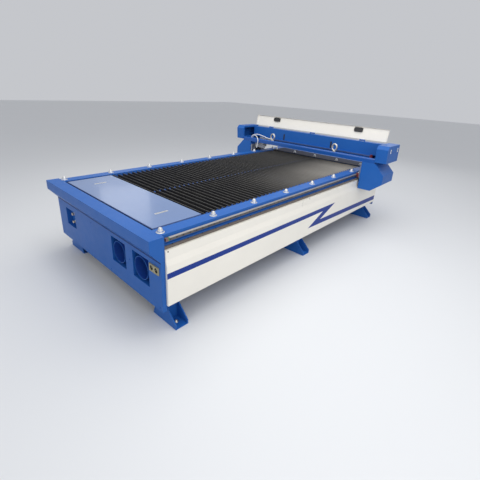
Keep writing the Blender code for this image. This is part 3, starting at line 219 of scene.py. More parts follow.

# Cover plate: pale frames of painted light in its two slots, and dark strips of painted shade along the
# gaps on three sides
GRIP_X = 0.54
GRIP_START = 0.318
GRIP_LENGTH = 0.115
GRIP_WIDTH = 0.012
SLOT_LIGHT_OUTSET = 0.0045
SLOT_LIGHT_WIDTH = 0.0080
SLOT_LIGHT_SINK = 0.0030
SLOT_LIGHT_HEIGHT = 0.0042
GAP_SHADE_NEAR = 0.009
GAP_SHADE_SIDE = 0.008
GAP_SHADE_INSET = 0.0003
GAP_SHADE_SINK = 0.001
GAP_SHADE_LIFT = 0.0006

# Side panels: joint line, fixing holes and folded ends
PANEL_UPPER_X = 0.958
PANEL_TOP_Z = -0.108
PANEL_FOLD_Z = (-0.180, -0.228)
PANEL_FOOT_LIFT = 0.0005
PANEL_GAP = 0.0004
JOINT_Y = (1.8545, 1.8560)
JOINT_Z = (-0.178, -0.1085)
JOINT_SINK = 0.0004
JOINT_LIFT = 0.0003
PANEL_HOLE_PROFILE = ((0.0058, -0.0005), (0.0058, 0.0003))
PANEL_HOLE_Y = (0.143, 1.990)
PANEL_HOLE_INSET = 0.022
PANEL_HOLE_Z = -0.118
FOLD_SINK = 0.0004
FOLD_LIFT = 0.0012

# Anchor bolts: a washer, and a hexagon nut round the bolt's end
ANCHOR_INSET = 0.075
ANCHOR_WASHER = ((0.019, 0.0), (0.019, 0.0025), (0.0125, 0.0027))
ANCHOR_NUT = ((0.0125, 0.0), (0.0125, 0.009), (0.011, 0.010), (0.006, 0.010), (0.006, 0.016), (0.0, 0.016))
ANCHOR_WASHER_RISE = 0.009
ANCHOR_NUT_RISE = 0.0117

# Comb teeth between the slats, in the middle and at both sides
SLAT_FIRST = 0.633
SLAT_PITCH = 0.060
SLAT_COUNT = 50
MIDDLE_TOOTH_HALF = 0.0062
MIDDLE_TOOTH_FLARE = 0.010
MIDDLE_TOOTH_Z = (-0.050, -0.0125)
MIDDLE_TOOTH_X = 0.0050
MIDDLE_TOOTH_INSET = 0.0003
SIDE_TOOTH_FOOT = (0.020, -0.045)
SIDE_TOOTH_TIP = (0.010, -0.006)
SIDE_TOOTH_DEPTH = 0.006

# End boxes: latches, and the seam round each door
LATCH_Y = (3.265, 3.504)
LATCH_Z = 0.3205
LATCH_HALF = (0.013, 0.024)
LATCH_REACH = (-0.0002, 0.0022)
LEVER_REACH = (0.0010, 0.0050)
LEVER_HALF = 0.0030
LEVER_Z = (-0.007, 0.004)
LATCH_PIN = ((0.0035, 0.0), (0.0035, 0.0015), (0.0, 0.0015))
LATCH_PIN_REACH = 0.002
LATCH_PIN_RISE = 0.012
DOOR_LOW = (3.230, 0.186)
DOOR_HIGH = (3.548, 0.300)
DOOR_SEAM = 0.0016
DOOR_SINK = 0.0002
DOOR_LIFT = 0.0006

# End seals of the guide blocks, astride the rail; distances from the rail's face
RAIL_FACE = 0.938
SEAL_REACH = (-0.013, 0.001, 0.017)
SEAL_DEPTH = 0.004
SEAL_Z = (-0.063, -0.0495, -0.0255, -0.012)

# Stop on the right upright, as blocks (x, x, y, y, z, z) with z from its top, and black blocks of painted
# shade in the back wall's slots
STOP_BLOCKS = (
    (0.983, 1.015, 3.390, 3.4185, -0.0002, 0.052),
    (0.986, 1.012, 3.393, 3.4155, 0.052, 0.070),
    (0.979, 0.984, 3.396, 3.4125, 0.030, 0.050),
)
SLOT_SHADE_X = (-0.49, 0.36)
SLOT_SHADE_HALF = 0.0130
SLOT_SHADE_Y = (3.4495, 3.4514)
SLOT_SHADE_Z = (0.2125, 0.3060)

# Lid: sleeves on the hinge barrels, and bezels round the grips; a bezel ring is (growth, lift)
HINGE_Y = 3.495
HINGE_Z = 0.385
LID_OPEN_DEG = 101.5
SLEEVE_X = (-0.80, 0.0, 0.80)
SLEEVE_SHIFT = 0.0295
SLEEVE_PROFILE = ((0.0086, 0.0), (0.0088, 0.0005), (0.0088, 0.0585), (0.0086, 0.059))
BEZEL_HALF_WIDTH = 0.064
BEZEL_HALF_HEIGHT = 0.0315
BEZEL_ROUND = 0.0300
BEZEL_STEPS = 6
BEZEL_RINGS = ((0.0, 0.0072), (0.0, 0.0095), (-0.0035, 0.0105), (-0.0070, 0.0095), (-0.0080, 0.0065),
               (-0.0065, 0.0040))
BEZEL_CORNERS = ((1, 1), (-1, 1), (-1, -1), (1, -1))

# Looks: dust in the enamel, the slats' bands by depth below their tops, where a painted sheen lies on
# them, and the rails' band of painted highlight as shares of their height
DUST_GREY = 0.5
DUST_SHARE = 0.25
SLAT_SCALE_BAND = (0.060, 0.020)
SLAT_SHEEN_BAND = (0.034, 0.012)
SLAT_HIGHLIGHT_BAND = (0.0090, 0.0025)
SLAT_SHEEN_Y = (1.5, 3.5)
SLAT_SHEEN_X = (0.05, 0.68)
RAIL_HIGHLIGHT_BAND = (0.20, 0.09)


class Shader:
    """Principled material with short calls for its nodes."""

    def __init__(self, name, colour, roughness, metallic=0.0):
        self.material = bpy.data.materials.new(name)
        self.material.use_nodes = True
        self.tree = self.material.node_tree
        self.out = self.tree.nodes["Principled BSDF"]
        self.out.inputs["Base Color"].default_value = (*colour, 1.0)
        self.out.inputs["Roughness"].default_value = roughness
        self.out.inputs["Metallic"].default_value = metallic
        self.coord = self.tree.nodes.new("ShaderNodeTexCoord").outputs["Object"]

    def set(self, socket, value):
        self.out.inputs[socket].default_value = value

    def link(self, source, target):
        self.tree.links.new(source, target)

    def noise(self, scale, detail, stretch=(1, 1, 1), roughness=0.55):
        """Noise in object space; stretch gives it a grain."""
        mapping = self.tree.nodes.new("ShaderNodeMapping")
        mapping.inputs["Scale"].default_value = stretch
        self.link(self.coord, mapping.inputs["Vector"])
        node = self.tree.nodes.new("ShaderNodeTexNoise")
        node.inputs["Scale"].default_value = scale
        node.inputs["Detail"].default_value = detail
        node.inputs["Roughness"].default_value = roughness
        self.link(mapping.outputs["Vector"], node.inputs["Vector"])
        return node.outputs["Fac"]

    def ramp(self, source, low, high):
        """Black up to low, white from high on."""
        node = self.tree.nodes.new("ShaderNodeValToRGB")
        node.color_ramp.elements[0].position = low
        node.color_ramp.elements[1].position = high
        self.link(source, node.inputs["Fac"])
        return node.outputs["Color"]

    def mix(self, factor, a, b):
        """Mix of two colours, each a tuple or a socket."""
        node = self.tree.nodes.new("ShaderNodeMix")
        node.data_type = "RGBA"
        self.link(factor, node.inputs["Factor"])
        for value, socket in ((a, node.inputs[6]), (b, node.inputs[7])):
            if isinstance(value, tuple):
                socket.default_value = (*value, 1.0)
            else:
                self.link(value, socket)
        return node.outputs[2]

    def spread(self, source, low, high, start=0.0, end=1.0):
        """The range from start to end mapped to low to high, and clamped."""
        node = self.tree.nodes.new("ShaderNodeMapRange")
        node.inputs["To Min"].default_value = low
        node.inputs["To Max"].default_value = high
        node.inputs["From Min"].default_value = start
        node.inputs["From Max"].default_value = end
        self.link(source, node.inputs["Value"])
        return node.outputs["Result"]

    def times(self, a, b):
        """Product of a socket and a number or a second socket."""
        node = self.tree.nodes.new("ShaderNodeMath")
        node.operation = "MULTIPLY"
        self.link(a, node.inputs[0])
        if isinstance(b, float):
            node.inputs[1].default_value = b
        else:
            self.link(b, node.inputs[1])
        return node.outputs[0]

    def axis(self, name):
        node = self.tree.nodes.new("ShaderNodeSeparateXYZ")
        self.link(self.coord, node.inputs[0])
        return node.outputs[name]

    def bump(self, height, distance, strength, edge=0.0):
        """Bump from a height, over edges rounded by the given radius."""
        node = self.tree.nodes.new("ShaderNodeBump")
        node.inputs["Distance"].default_value = distance
        node.inputs["Strength"].default_value = strength
        self.link(height, node.inputs["Height"])
        if edge:
            round_edge = self.tree.nodes.new("ShaderNodeBevel")
            round_edge.samples = 4
            round_edge.inputs["Radius"].default_value = edge
            self.link(round_edge.outputs["Normal"], node.inputs["Normal"])
        self.link(node.outputs["Normal"], self.out.inputs["Normal"])

    def tint(self, source):
        self.link(source, self.out.inputs["Base Color"])

    def gloss(self, source):
        self.link(source, self.out.inputs["Roughness"])


def shade(colour, amount):
    """Colour made lighter or darker by a factor."""
    return tuple(min(1.0, c * amount) for c in colour)


def enamel(name, colour, roughness, edge=0.002, coat=0.0, dirt=0.05, specular=0.5):
    """Sprayed enamel: soft colour clouds, orange peel, dust and softened edges."""
    s = Shader(name, colour, roughness)
    cloud = s.noise(2.2, 5.0)
    base = s.mix(s.spread(cloud, 0.0, 1.0), shade(colour, 0.93), shade(colour, 1.07))
    dust_and_sheen = s.ramp(s.noise(9.0, 8.0, roughness=0.7), 0.52, 0.80)
    dusty = tuple((1 - DUST_SHARE) * c + DUST_SHARE * DUST_GREY for c in colour)
    s.tint(s.mix(s.times(dust_and_sheen, dirt), base, dusty))
    s.gloss(s.spread(s.noise(14.0, 6.0), roughness - 0.07, roughness + 0.10))
    s.bump(s.noise(420.0, 2.0), 0.00012, 0.35, edge)
    s.set("Coat Weight", coat)
    s.set("Coat Roughness", 0.08)
    s.set("Specular IOR Level", specular)
    return s.material


def ground(name, colour, roughness, grain=(1, 1, 1), metallic=1.0):
    """Ground or drawn metal with a grain and faint tarnish."""
    s = Shader(name, colour, roughness, metallic)
    lines = s.noise(160.0, 3.0, grain)
    tarnish = s.noise(11.0, 6.0)
    s.tint(s.mix(s.spread(tarnish, 0.0, 1.0), shade(colour, 0.84), shade(colour, 1.08)))
    s.gloss(s.spread(lines, roughness - 0.08, roughness + 0.14))
    s.bump(lines, 0.00010, 0.4, 0.0008)
    return s.material


def moulded(name, colour, roughness):
    """Moulded plastic with a fine pebble."""
    s = Shader(name, colour, roughness)
    s.tint(s.mix(s.spread(s.noise(20.0, 4.0), 0.0, 1.0), shade(colour, 0.90), shade(colour, 1.10)))
    s.gloss(s.spread(s.noise(35.0, 5.0), roughness - 0.06, roughness + 0.08))
    s.bump(s.noise(900.0, 1.0), 0.00008, 0.5, 0.0010)
    return s.material


def slat_steel():
    """Mill-scaled slats with a painted highlight along their top edges, and a pale painted sheen towards
    the far right.
    """
    deep = (0.006, 0.006, 0.007)
    s = Shader("slat_steel", deep, 0.5, 0.25)
    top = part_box("slat_bed")[1].z
    height = s.axis("Z")
    flakes = s.noise(60.0, 5.0, (0.3, 1.0, 1.0))
    scale = s.mix(s.ramp(s.noise(6.0, 8.0, roughness=0.7), 0.40, 0.72), (0.022, 0.022, 0.026),
                  (0.040, 0.038, 0.036))
    body = s.mix(s.spread(height, 0.0, 1.0, *(top - depth for depth in SLAT_SCALE_BAND)), deep, scale)
    # Painted sheen: a pale warm tint on the slats' upper band, growing towards the far right of the bed
    far = s.spread(s.axis("Y"), 0.0, 1.0, *(NEAR + y for y in SLAT_SHEEN_Y))
    right = s.spread(s.axis("X"), 0.04, 1.0, *SLAT_SHEEN_X)
    cloud = s.spread(s.noise(1.7, 3.0), 0.55, 1.35)
    dust_and_sheen = s.times(s.times(far, right), cloud)
    band = s.spread(height, 0.0, 1.0, *(top - depth for depth in SLAT_SHEEN_BAND))
    tint = s.mix(s.times(dust_and_sheen, band), body, (0.86, 0.81, 0.73))
    # Painted highlight: the top few millimetres of each slat made lighter
    edge = s.spread(height, 0.0, 0.60, *(top - depth for depth in SLAT_HIGHLIGHT_BAND))
    s.tint(s.mix(edge, tint, (0.190, 0.185, 0.175)))
    s.gloss(s.spread(flakes, 0.36, 0.66))
    s.bump(flakes, 0.0003, 0.5)
    return s.material


def rail_steel(name, node):
    """Hardened rail: a painted highlight along the running edge on top, and a dark flank below, oily and
    darkened with painted shade of the groove.
    """
    s = Shader(name, (0.42, 0.38, 0.34), 0.3, 0.6)
    low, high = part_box(node)
    lines = s.noise(160.0, 3.0, (1, 0.02, 1))
    # Painted highlight on the top band, and a dark flank below: oil with painted shade of the rail's
    # groove
    band = (high.z - share * (high.z - low.z) for share in RAIL_HIGHLIGHT_BAND)
    flank = s.spread(s.axis("Z"), 0.0, 1.0, *band)
    oil_and_shade = s.mix(s.ramp(s.noise(9.0, 6.0), 0.35, 0.70), (0.075, 0.075, 0.085), (0.170, 0.155, 0.145))
    highlight = s.mix(s.spread(s.noise(7.0, 5.0), 0.0, 1.0), (0.46, 0.42, 0.38), (0.60, 0.56, 0.52))
    s.tint(s.mix(flank, oil_and_shade, highlight))
    s.gloss(s.spread(lines, 0.26, 0.46))
    s.bump(lines, 0.00010, 0.4, 0.0008)
    return s.material


MATERIALS = {
    "blue": enamel("blue_enamel", (0.016, 0.110, 0.400), 0.38, specular=0.22),
    # Darker copy of the blue paint, as painted shade: the combs' inner faces, the strip under the hood,
    # the gaps round the cover plate and the end boxes' door seams
    "shade": enamel("painted_shade_enamel", (0.010, 0.030, 0.140), 0.50, dirt=0.06, specular=0.25),
    # Rear deck in a near-black blue: the deck's blue paint darkened with painted shade from the gantry
    # above it
    "deck": enamel("shaded_deck_enamel", (0.016, 0.020, 0.046), 0.60, specular=0.15),
    # Cover plate in a paler blue than the hood: partly the plate's own paint, partly a painted reflection
    # of the bright room on its gloss
    "gloss": enamel("glossy_enamel_and_reflection", (0.128, 0.205, 0.395), 0.22, coat=0.3, dirt=0.015),
    # Exhaust ducts in a darker blue than the machine's paint: painted shade inside the ducts
    "duct": enamel("shaded_duct_enamel", (0.011, 0.055, 0.290), 0.42, specular=0.3),
    "bar": enamel("bar_enamel", (0.013, 0.088, 0.350), 0.20, coat=0.4, dirt=0.04, specular=0.3),
    "cream": enamel("cream_enamel", (0.860, 0.825, 0.745), 0.34, coat=0.2, dirt=0.10),
    "dark": moulded("dark_plate", (0.045, 0.047, 0.052), 0.50),
    "slat": slat_steel(),
    "tray": ground("tray_steel", (0.10, 0.085, 0.075), 0.6, metallic=0.4),
    "rail": ground("rail_steel", (0.60, 0.60, 0.61), 0.28, (1, 0.02, 1)),
    "rail_right": rail_steel("rail_steel_right", "y_rail_right"),
    "rail_left": rail_steel("rail_steel_left", "y_rail_left"),
    # Cross rail and its rack in a bluish dark steel: painted reflection of the blue gantry round them, and
    # painted shade of the gap behind the front beam
    "cross_rail": ground("cross_rail_blue_reflection_steel", (0.090, 0.140, 0.320), 0.40, (0.02, 1, 1), 0.5),
    "rack": ground("rack_steel", (0.290, 0.250, 0.225), 0.48, (1, 0.05, 1), 0.45),
    "zinc": ground("zinc_steel", (0.760, 0.740, 0.680), 0.34),
    "ball": ground("ball_steel", (0.640, 0.640, 0.625), 0.36, metallic=0.55),
    "grey": ground("grey_alloy", (0.420, 0.430, 0.450), 0.40, metallic=0.5),
    "brass": ground("turned_brass", (0.720, 0.530, 0.250), 0.25),
    "black": moulded("black_plastic", (0.020, 0.020, 0.022), 0.42),
    "beige": moulded("beige_plastic", (0.330, 0.305, 0.185), 0.45),
    "white": moulded("white_plastic", (0.840, 0.840, 0.820), 0.30),
    "rubber": moulded("brown_rubber", (0.190, 0.115, 0.100), 0.55),
    "red": moulded("red_plastic", (0.170, 0.018, 0.018), 0.42),
    "green": moulded("green_plastic", (0.030, 0.190, 0.070), 0.40),
    "tick": enamel("comb_enamel", (0.022, 0.090, 0.340), 0.40, edge=0.0, dirt=0.06),
    "stripe": enamel("stripe_enamel", (0.005, 0.034, 0.245), 0.34, edge=0.0005, dirt=0.03,
                     specular=0.2),
}

# Look of each CAD node, by the start of its name
CAD_LOOKS = {
    "blue": ("side_beam", "leg", "cross_tube", "end_hood", "end_panel", "rear_cover",
             "gantry_upright", "end_box", "rear_beam", "back_wall"),
    # Side combs in the darker copy of the blue paint, as painted shade on their inner faces
    "shade": ("side_comb",),
    "deck": ("rear_deck",),
    "gloss": ("cover_plate",),
    "bar": ("front_beam",),
    "duct": ("exhaust_duct",),
    "cream": ("side_panel", "lid"),
    "slat": ("slat_bed",),
    "tray": ("slag_tray",),
    "rail": ("y_carriage",),
    "rail_right": ("y_rail_right",),
    "rail_left": ("y_rail_left",),
    "cross_rail": ("x_rail", "x_rack"),
    "rack": ("y_rack", "y_pinion", "x_pinion"),
    "zinc": ("gas_fitting", "lifting_eye"),
    "grey": ("x_carriage", "laser_head"),
    "brass": ("nozzle",),
    "black": ("y_motor", "x_motor", "z_motor", "lid_grip"),
    "beige": ("socket_plate",),
    "white": ("hose",),
}


def dress_nodes():
    """Give each CAD node its material; the longest matching name wins."""
    starts = {start: look for look, names in CAD_LOOKS.items() for start in names}
    for name, node in NODES.items():
        best = max((start for start in starts if name.startswith(start)), key=len)
        node.data.materials.clear()
        node.data.materials.append(MATERIALS[starts[best]])


def at(x, y, z):
    """Point in the frame's own coordinates, from the drawing's."""
    return Vector((x, y + NEAR, z + TOP))


def node_box(name):
    """Node's box in drawing coordinates."""
    low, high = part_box(name)
    shift = Vector((0.0, NEAR, TOP))
    return low - shift, high - shift


def outer_x(low, high):
    """Distance from the middle plane to a box's far side."""
    return max(abs(low.x), abs(high.x))


def inner_x(low, high):
    """Distance from the middle plane to a box's near side."""
    return min(abs(low.x), abs(high.x))


def piece(name, shape, look, body, smooth=40.0):
    """Mesh object from a bmesh, riding on a body; smooth is the sharp edges' angle, 0 for flat faces."""
    bmesh.ops.recalc_face_normals(shape, faces=shape.faces)
    mesh = bpy.data.meshes.new(name)
    shape.to_mesh(mesh)
    shape.free()
    mesh.materials.append(MATERIALS[look])
    if smooth:
        mesh.shade_smooth()
        mesh.set_sharp_from_angle(angle=math.radians(smooth))
    item = bpy.data.objects.new(name, mesh)
    bpy.context.scene.collection.objects.link(item)
    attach(item, body)
    return item


def add_prism(shape, axis, outline, start, end):
    """Outline swept along an axis, in drawing coordinates."""
    def spot(pair, along):
        if axis == "x":
            return at(along, pair[0], pair[1])
        if axis == "y":
            return at(pair[0], along, pair[1])
        return at(pair[0], pair[1], along)

    low = [shape.verts.new(spot(pair, start)) for pair in outline]
    high = [shape.verts.new(spot(pair, end)) for pair in outline]
    shape.faces.new(low)
    shape.faces.new(high[::-1])
    for i in range(len(outline)):
        j = (i + 1) % len(outline)
        shape.faces.new((low[i], high[i], high[j], low[j]))


def add_block(shape, x0, x1, y0, y1, z0, z1):
    """Rectangular block, in drawing coordinates."""
    add_prism(shape, "z", ((x0, y0), (x1, y0), (x1, y1), (x0, y1)), z0, z1)


def add_side_block(shape, side, inner, outer, y0, y1, z0, z1):
    """Rectangular block on one side, from two distances to the middle plane."""
    x0, x1 = sorted((side * inner, side * outer))
    add_block(shape, x0, x1, y0, y1, z0, z1)


def add_lathe(shape, profile, centre, axis, sign, segments):
    """Closed turned shape: profile runs (radius, reach) from its seat to its tip."""
    rings = []
    for radius, reach in profile:
        points = []
        count = 1 if radius == 0.0 else segments
        for i in range(count):
            turn = 2 * math.pi * i / segments
            a = radius * math.cos(turn)
            b = radius * math.sin(turn)
            offset = {"z": (a, b, sign * reach), "x": (sign * reach, a, b),
                      "y": (a, sign * reach, b)}[axis]
            points.append(shape.verts.new(at(*centre) + Vector(offset)))
        rings.append(points)
    for low, high in zip(rings, rings[1:]):
        for i in range(segments):
            j = (i + 1) % segments
            if len(high) == 1:
                shape.faces.new((low[i], low[j], high[0]))
            else:
                shape.faces.new((low[i], low[j], high[j], high[i]))
    for end in (rings[0], rings[-1]):
        if len(end) > 1:
            shape.faces.new(end)


def add_screw(shape, centre, axis, sign, size):
    """Socket cap screw with a washer and a shallow socket; size is (radius, height)."""
    radius, height = size
    washer, rim, socket = radius * 1.7, radius * 0.9, radius * 0.5
    floor = height * 0.45
    profile = ((washer, -0.0002), (washer, 0.0012), (radius, 0.0014), (radius, height - 0.0006),
               (rim, height), (socket, height), (socket, floor), (0.0, floor))
    add_lathe(shape, profile, centre, axis, sign, segments=16)


def add_rim(shape, centre, radius, wire, segments=48, sides=8):
    """Torus round a line that runs along Y."""
    rows = []
    for i in range(segments):
        turn = 2 * math.pi * i / segments
        row = []
        for k in range(sides):
            roll = 2 * math.pi * k / sides
            reach = radius + wire * math.cos(roll)
            offset = (reach * math.cos(turn), wire * math.sin(roll), reach * math.sin(turn))
            row.append(shape.verts.new(at(*centre) + Vector(offset)))
        rows.append(row)
    for i in range(segments):
        j = (i + 1) % segments
        for k in range(sides):
            m = (k + 1) % sides
            shape.faces.new((rows[i][k], rows[i][m], rows[j][m], rows[j][k]))


def add_frame(shape, axis, place, low, high, width, depth):
    """Flat rectangular frame square to an axis; low and high are its outer corners."""
    (a0, b0), (a1, b1) = low, high
    d0, d1 = sorted((place, place + depth))
    for u0, u1, v0, v1 in ((a0, a1, b0, b0 + width), (a0, a1, b1 - width, b1),
                           (a0, a0 + width, b0 + width, b1 - width),
                           (a1 - width, a1, b0 + width, b1 - width)):
        if axis == "y":
            add_block(shape, u0, u1, d0, d1, v0, v1)
        elif axis == "x":
            add_block(shape, d0, d1, u0, u1, v0, v1)
        else:
            add_block(shape, u0, u1, v0, v1, d0, d1)


def smooth_route(route):
    """Evenly spaced points on a smooth curve through the route."""
    points = [Vector(p) for p in route]
    ends = [points[0] * 2 - points[1]] + points + [points[-1] * 2 - points[-2]]
    fine = []
    for a, b, c, d in zip(ends, ends[1:], ends[2:], ends[3:]):
        for k in range(ROUTE_STEPS):
            t = k / ROUTE_STEPS
            fine.append(0.5 * (2 * b + (c - a) * t + (2 * a - 5 * b + 4 * c - d) * t * t
                               + (3 * b - a - 3 * c + d) * t ** 3))
    fine.append(points[-1])
    lengths = [0.0]
    for a, b in zip(fine, fine[1:]):
        lengths.append(lengths[-1] + (b - a).length)
    count = round(lengths[-1] / HOSE_STEP)
    spaced = [fine[0]]
    k = 0
    for i in range(1, count):
        target = lengths[-1] * i / count
        while lengths[k + 1] < target:
            k += 1
        share = (target - lengths[k]) / (lengths[k + 1] - lengths[k])
        spaced.append(fine[k].lerp(fine[k + 1], share))
    spaced.append(fine[-1])
    return spaced


def hose(name, route, node):
    """White air hose on its CAD route."""
    points = [at(*p) for p in smooth_route(route)]
    curve = bpy.data.curves.new(name, "CURVE")
    curve.dimensions = "3D"
    curve.bevel_depth = HOSE_DIAMETER / 2
    curve.bevel_resolution = 4
    curve.use_fill_caps = True
    spline = curve.splines.new("POLY")
    spline.points.add(len(points) - 1)
    for spot, point in zip(spline.points, points):
        spot.co = (*point, 1.0)
    curve.materials.append(MATERIALS["white"])
    item = bpy.data.objects.new(name, curve)
    bpy.context.scene.collection.objects.link(item)
    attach(item, "gantry")
    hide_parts(node)


def camera():
    """Camera at the photograph's place."""
    yaw, pitch, roll = (math.radians(v) for v in (CAMERA_YAW, CAMERA_PITCH, CAMERA_ROLL))
    forward = Vector((-math.sin(yaw) * math.cos(pitch), math.cos(yaw) * math.cos(pitch),
                      -math.sin(pitch)))
    right = Vector((math.cos(yaw), math.sin(yaw), 0.0))
    up = right.cross(forward)
    right, up = (right * math.cos(roll) + up * math.sin(roll),
                 up * math.cos(roll) - right * math.sin(roll))
    data = bpy.data.cameras.new("camera")
    data.lens = CAMERA_LENS
    data.sensor_width = CAMERA_SENSOR
    data.shift_y = CAMERA_SHIFT_Y
    item = bpy.data.objects.new("camera", data)
    turn = Matrix((right, up, -forward)).transposed().to_4x4()
    item.matrix_world = Matrix.Translation(CAMERA_PLACE) @ turn
    bpy.context.scene.collection.objects.link(item)
    bpy.context.scene.camera = item


def lamp(name, place, target, size, power):
    """Soft area lamp aimed at a point, kept out of the camera's own view."""
    data = bpy.data.lights.new(name, "AREA")
    data.shape = "RECTANGLE"
    data.size, data.size_y = size
    data.energy = power
    item = bpy.data.objects.new(name, data)
    item.location = place
    item.rotation_euler = (Vector(target) - Vector(place)).to_track_quat("-Z", "Y").to_euler()
    item.visible_camera = False
    bpy.context.scene.collection.objects.link(item)


def studio():
    """Pale floor, pale world and soft lamps."""
    bpy.context.scene.view_settings.view_transform = "Standard"
    world = bpy.data.worlds.new("studio")
    world.use_nodes = True
    back = world.node_tree.nodes["Background"]
    back.inputs["Color"].default_value = (*WORLD_COLOUR, 1.0)
    back.inputs["Strength"].default_value = WORLD_STRENGTH
    bpy.context.scene.world = world
    floor = bpy.data.meshes.new("floor")
    reach = FLOOR_REACH
    corners = [(-reach, -reach, 0), (reach, -reach, 0), (reach, reach, 0), (-reach, reach, 0)]
    floor.from_pydata(corners, [], [(0, 1, 2, 3)])
    s = Shader("floor_paint", FLOOR_COLOUR, 0.55)
    s.gloss(s.spread(s.noise(0.7, 4.0), 0.50, 0.62))
    floor.materials.append(s.material)
    item = bpy.data.objects.new("floor", floor)
    bpy.context.scene.collection.objects.link(item)
    for values in LAMPS:
        lamp(*values)


def ball_units():
    """Ball transfer units over the plain CAD ones; the rear row has no washers."""
    cup = BALL_RADIUS + BALL_CUP_WALL
    centre = BALL_TOP - BALL_RADIUS
    washer = [(BALL_WASHER, BALL_SEAT), (BALL_WASHER, BALL_WASHER_HEIGHT),
              (BALL_FLANGE + BALL_COLLAR, BALL_COLLAR_HEIGHT)]
    unit = [(BALL_FLANGE, BALL_FLANGE_HEIGHT - BALL_CHAMFER),
            (BALL_FLANGE - BALL_CHAMFER, BALL_FLANGE_HEIGHT),
            (cup + BALL_CUP_FOOT, BALL_FLANGE_HEIGHT), (cup, BALL_FLANGE_HEIGHT + BALL_CUP_RISE),
            (BALL_RADIUS + BALL_GAP, centre + BALL_LIP)]
    for degrees in BALL_ARC_DEGREES:
        turn = math.radians(degrees)
        unit.append((BALL_RADIUS * math.cos(turn), centre + BALL_RADIUS * math.sin(turn)))
    unit.append((0.0, BALL_TOP + BALL_CREST))
    shape = bmesh.new()
    for side, _ in SIDES:
        for i in range(BALL_COUNT):
            spot = (side * BALL_LINE, BALL_FIRST + BALL_PITCH * i, 0.0)
            add_lathe(shape, washer + unit, spot, "z", 1, BALL_SEGMENTS)
    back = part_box("rear_deck")[0].y - NEAR + REAR_BALL_SETBACK
    for i in range(REAR_BALL_COUNT):
        spot = ((i - REAR_BALL_COUNT // 2) * REAR_BALL_PITCH, back, 0.0)
        add_lathe(shape, [(BALL_FLANGE, BALL_SEAT)] + unit, spot, "z", 1, BALL_SEGMENTS)
    piece("ball_units", shape, "ball", "table")


def rail_details():
    """Screw holes, end caps and end stops of both rails, and their toothed racks."""
    for side, hand in SIDES:
        low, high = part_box(f"y_rail_{hand}")
        face = outer_x(low, high)
        start, end = low.y - NEAR, high.y - NEAR
        middle = (low.z + high.z) / 2 - TOP
        holes = bmesh.new()
        count = int((end - start - HOLE_PITCH / 2) / HOLE_PITCH)
        for i in range(count + 1):
            centre = (side * face, start + HOLE_PITCH / 2 + HOLE_PITCH * i, middle)
            add_lathe(holes, HOLE_PROFILE, centre, "x", side, segments=16)
        piece(f"rail_holes_{hand}", holes, "black", "table")
        caps = bmesh.new()
        stops = bmesh.new()
        for shape, reaches, half in ((caps, RAIL_CAP_REACH, RAIL_CAP_HALF),
                                     (stops, RAIL_STOP_REACH, RAIL_STOP_HALF)):
            for y, way in ((start, 1), (end, -1)):
                y0, y1 = sorted(y + way * reach for reach in reaches)
                add_side_block(shape, side, face - RAIL_END_DEPTH, face + RAIL_END_LIFT, y0, y1,
                               middle - half, middle + half)
        piece(f"rail_caps_{hand}", caps, "green", "table", 0)
        piece(f"rail_stops_{hand}", stops, "rubber", "table", 0)
        toothed_rack(side, hand)


def toothed_rack(side, hand):
    """Rack bar with trapezoid teeth facing outwards."""
    low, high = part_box(f"y_rack_{hand}")
    outer, inner = outer_x(low, high), inner_x(low, high)
    line = []
    for i in range(int((high.y - low.y) / RACK_PITCH)):
        y = low.y + RACK_PITCH * i
        for share, depth in TOOTH_OUTLINE:
            line.append((outer - RACK_TOOTH * (1 - depth), y + RACK_PITCH * share))
    line.append((outer - RACK_TOOTH, high.y))
    shape = bmesh.new()
    columns = []
    for x, y in line:
        columns.append([shape.verts.new((side * px, y, z)) for px, z in
                        ((inner, low.z), (x, low.z), (x, high.z), (inner, high.z))])
    for a, b in zip(columns, columns[1:]):
        for k in range(4):
            m = (k + 1) % 4
            shape.faces.new((a[k], a[m], b[m], b[k]))
    shape.faces.new(columns[0])
    shape.faces.new(columns[-1])
    item = piece(f"toothed_rack_{hand}", shape, "rack", "table", 0)
    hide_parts(f"y_rack_{hand}")


def stripes():
    """Plain zigzag stripe on the lower facet of each side panel."""
    for side, hand in SIDES:
        low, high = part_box(f"side_panel_{hand}")
        face = outer_x(low, high)
        end = high.y - NEAR - STRIPE_END_GAP
        corners = (STRIPE_UPPER_START, STRIPE_TIP, STRIPE_HEEL, (end, STRIPE_END_DROPS[0]),
                   (end, STRIPE_END_DROPS[1]), STRIPE_TOE, STRIPE_NOTCH, STRIPE_LOWER_START)
        outline = [(y, -drop) for y, drop in corners]
        shape = bmesh.new()
        add_prism(shape, "x", outline, side * (face - STRIPE_SINK), side * (face + STRIPE_LIFT))
        piece(f"stripe_{hand}", shape, "stripe", "table", 0)


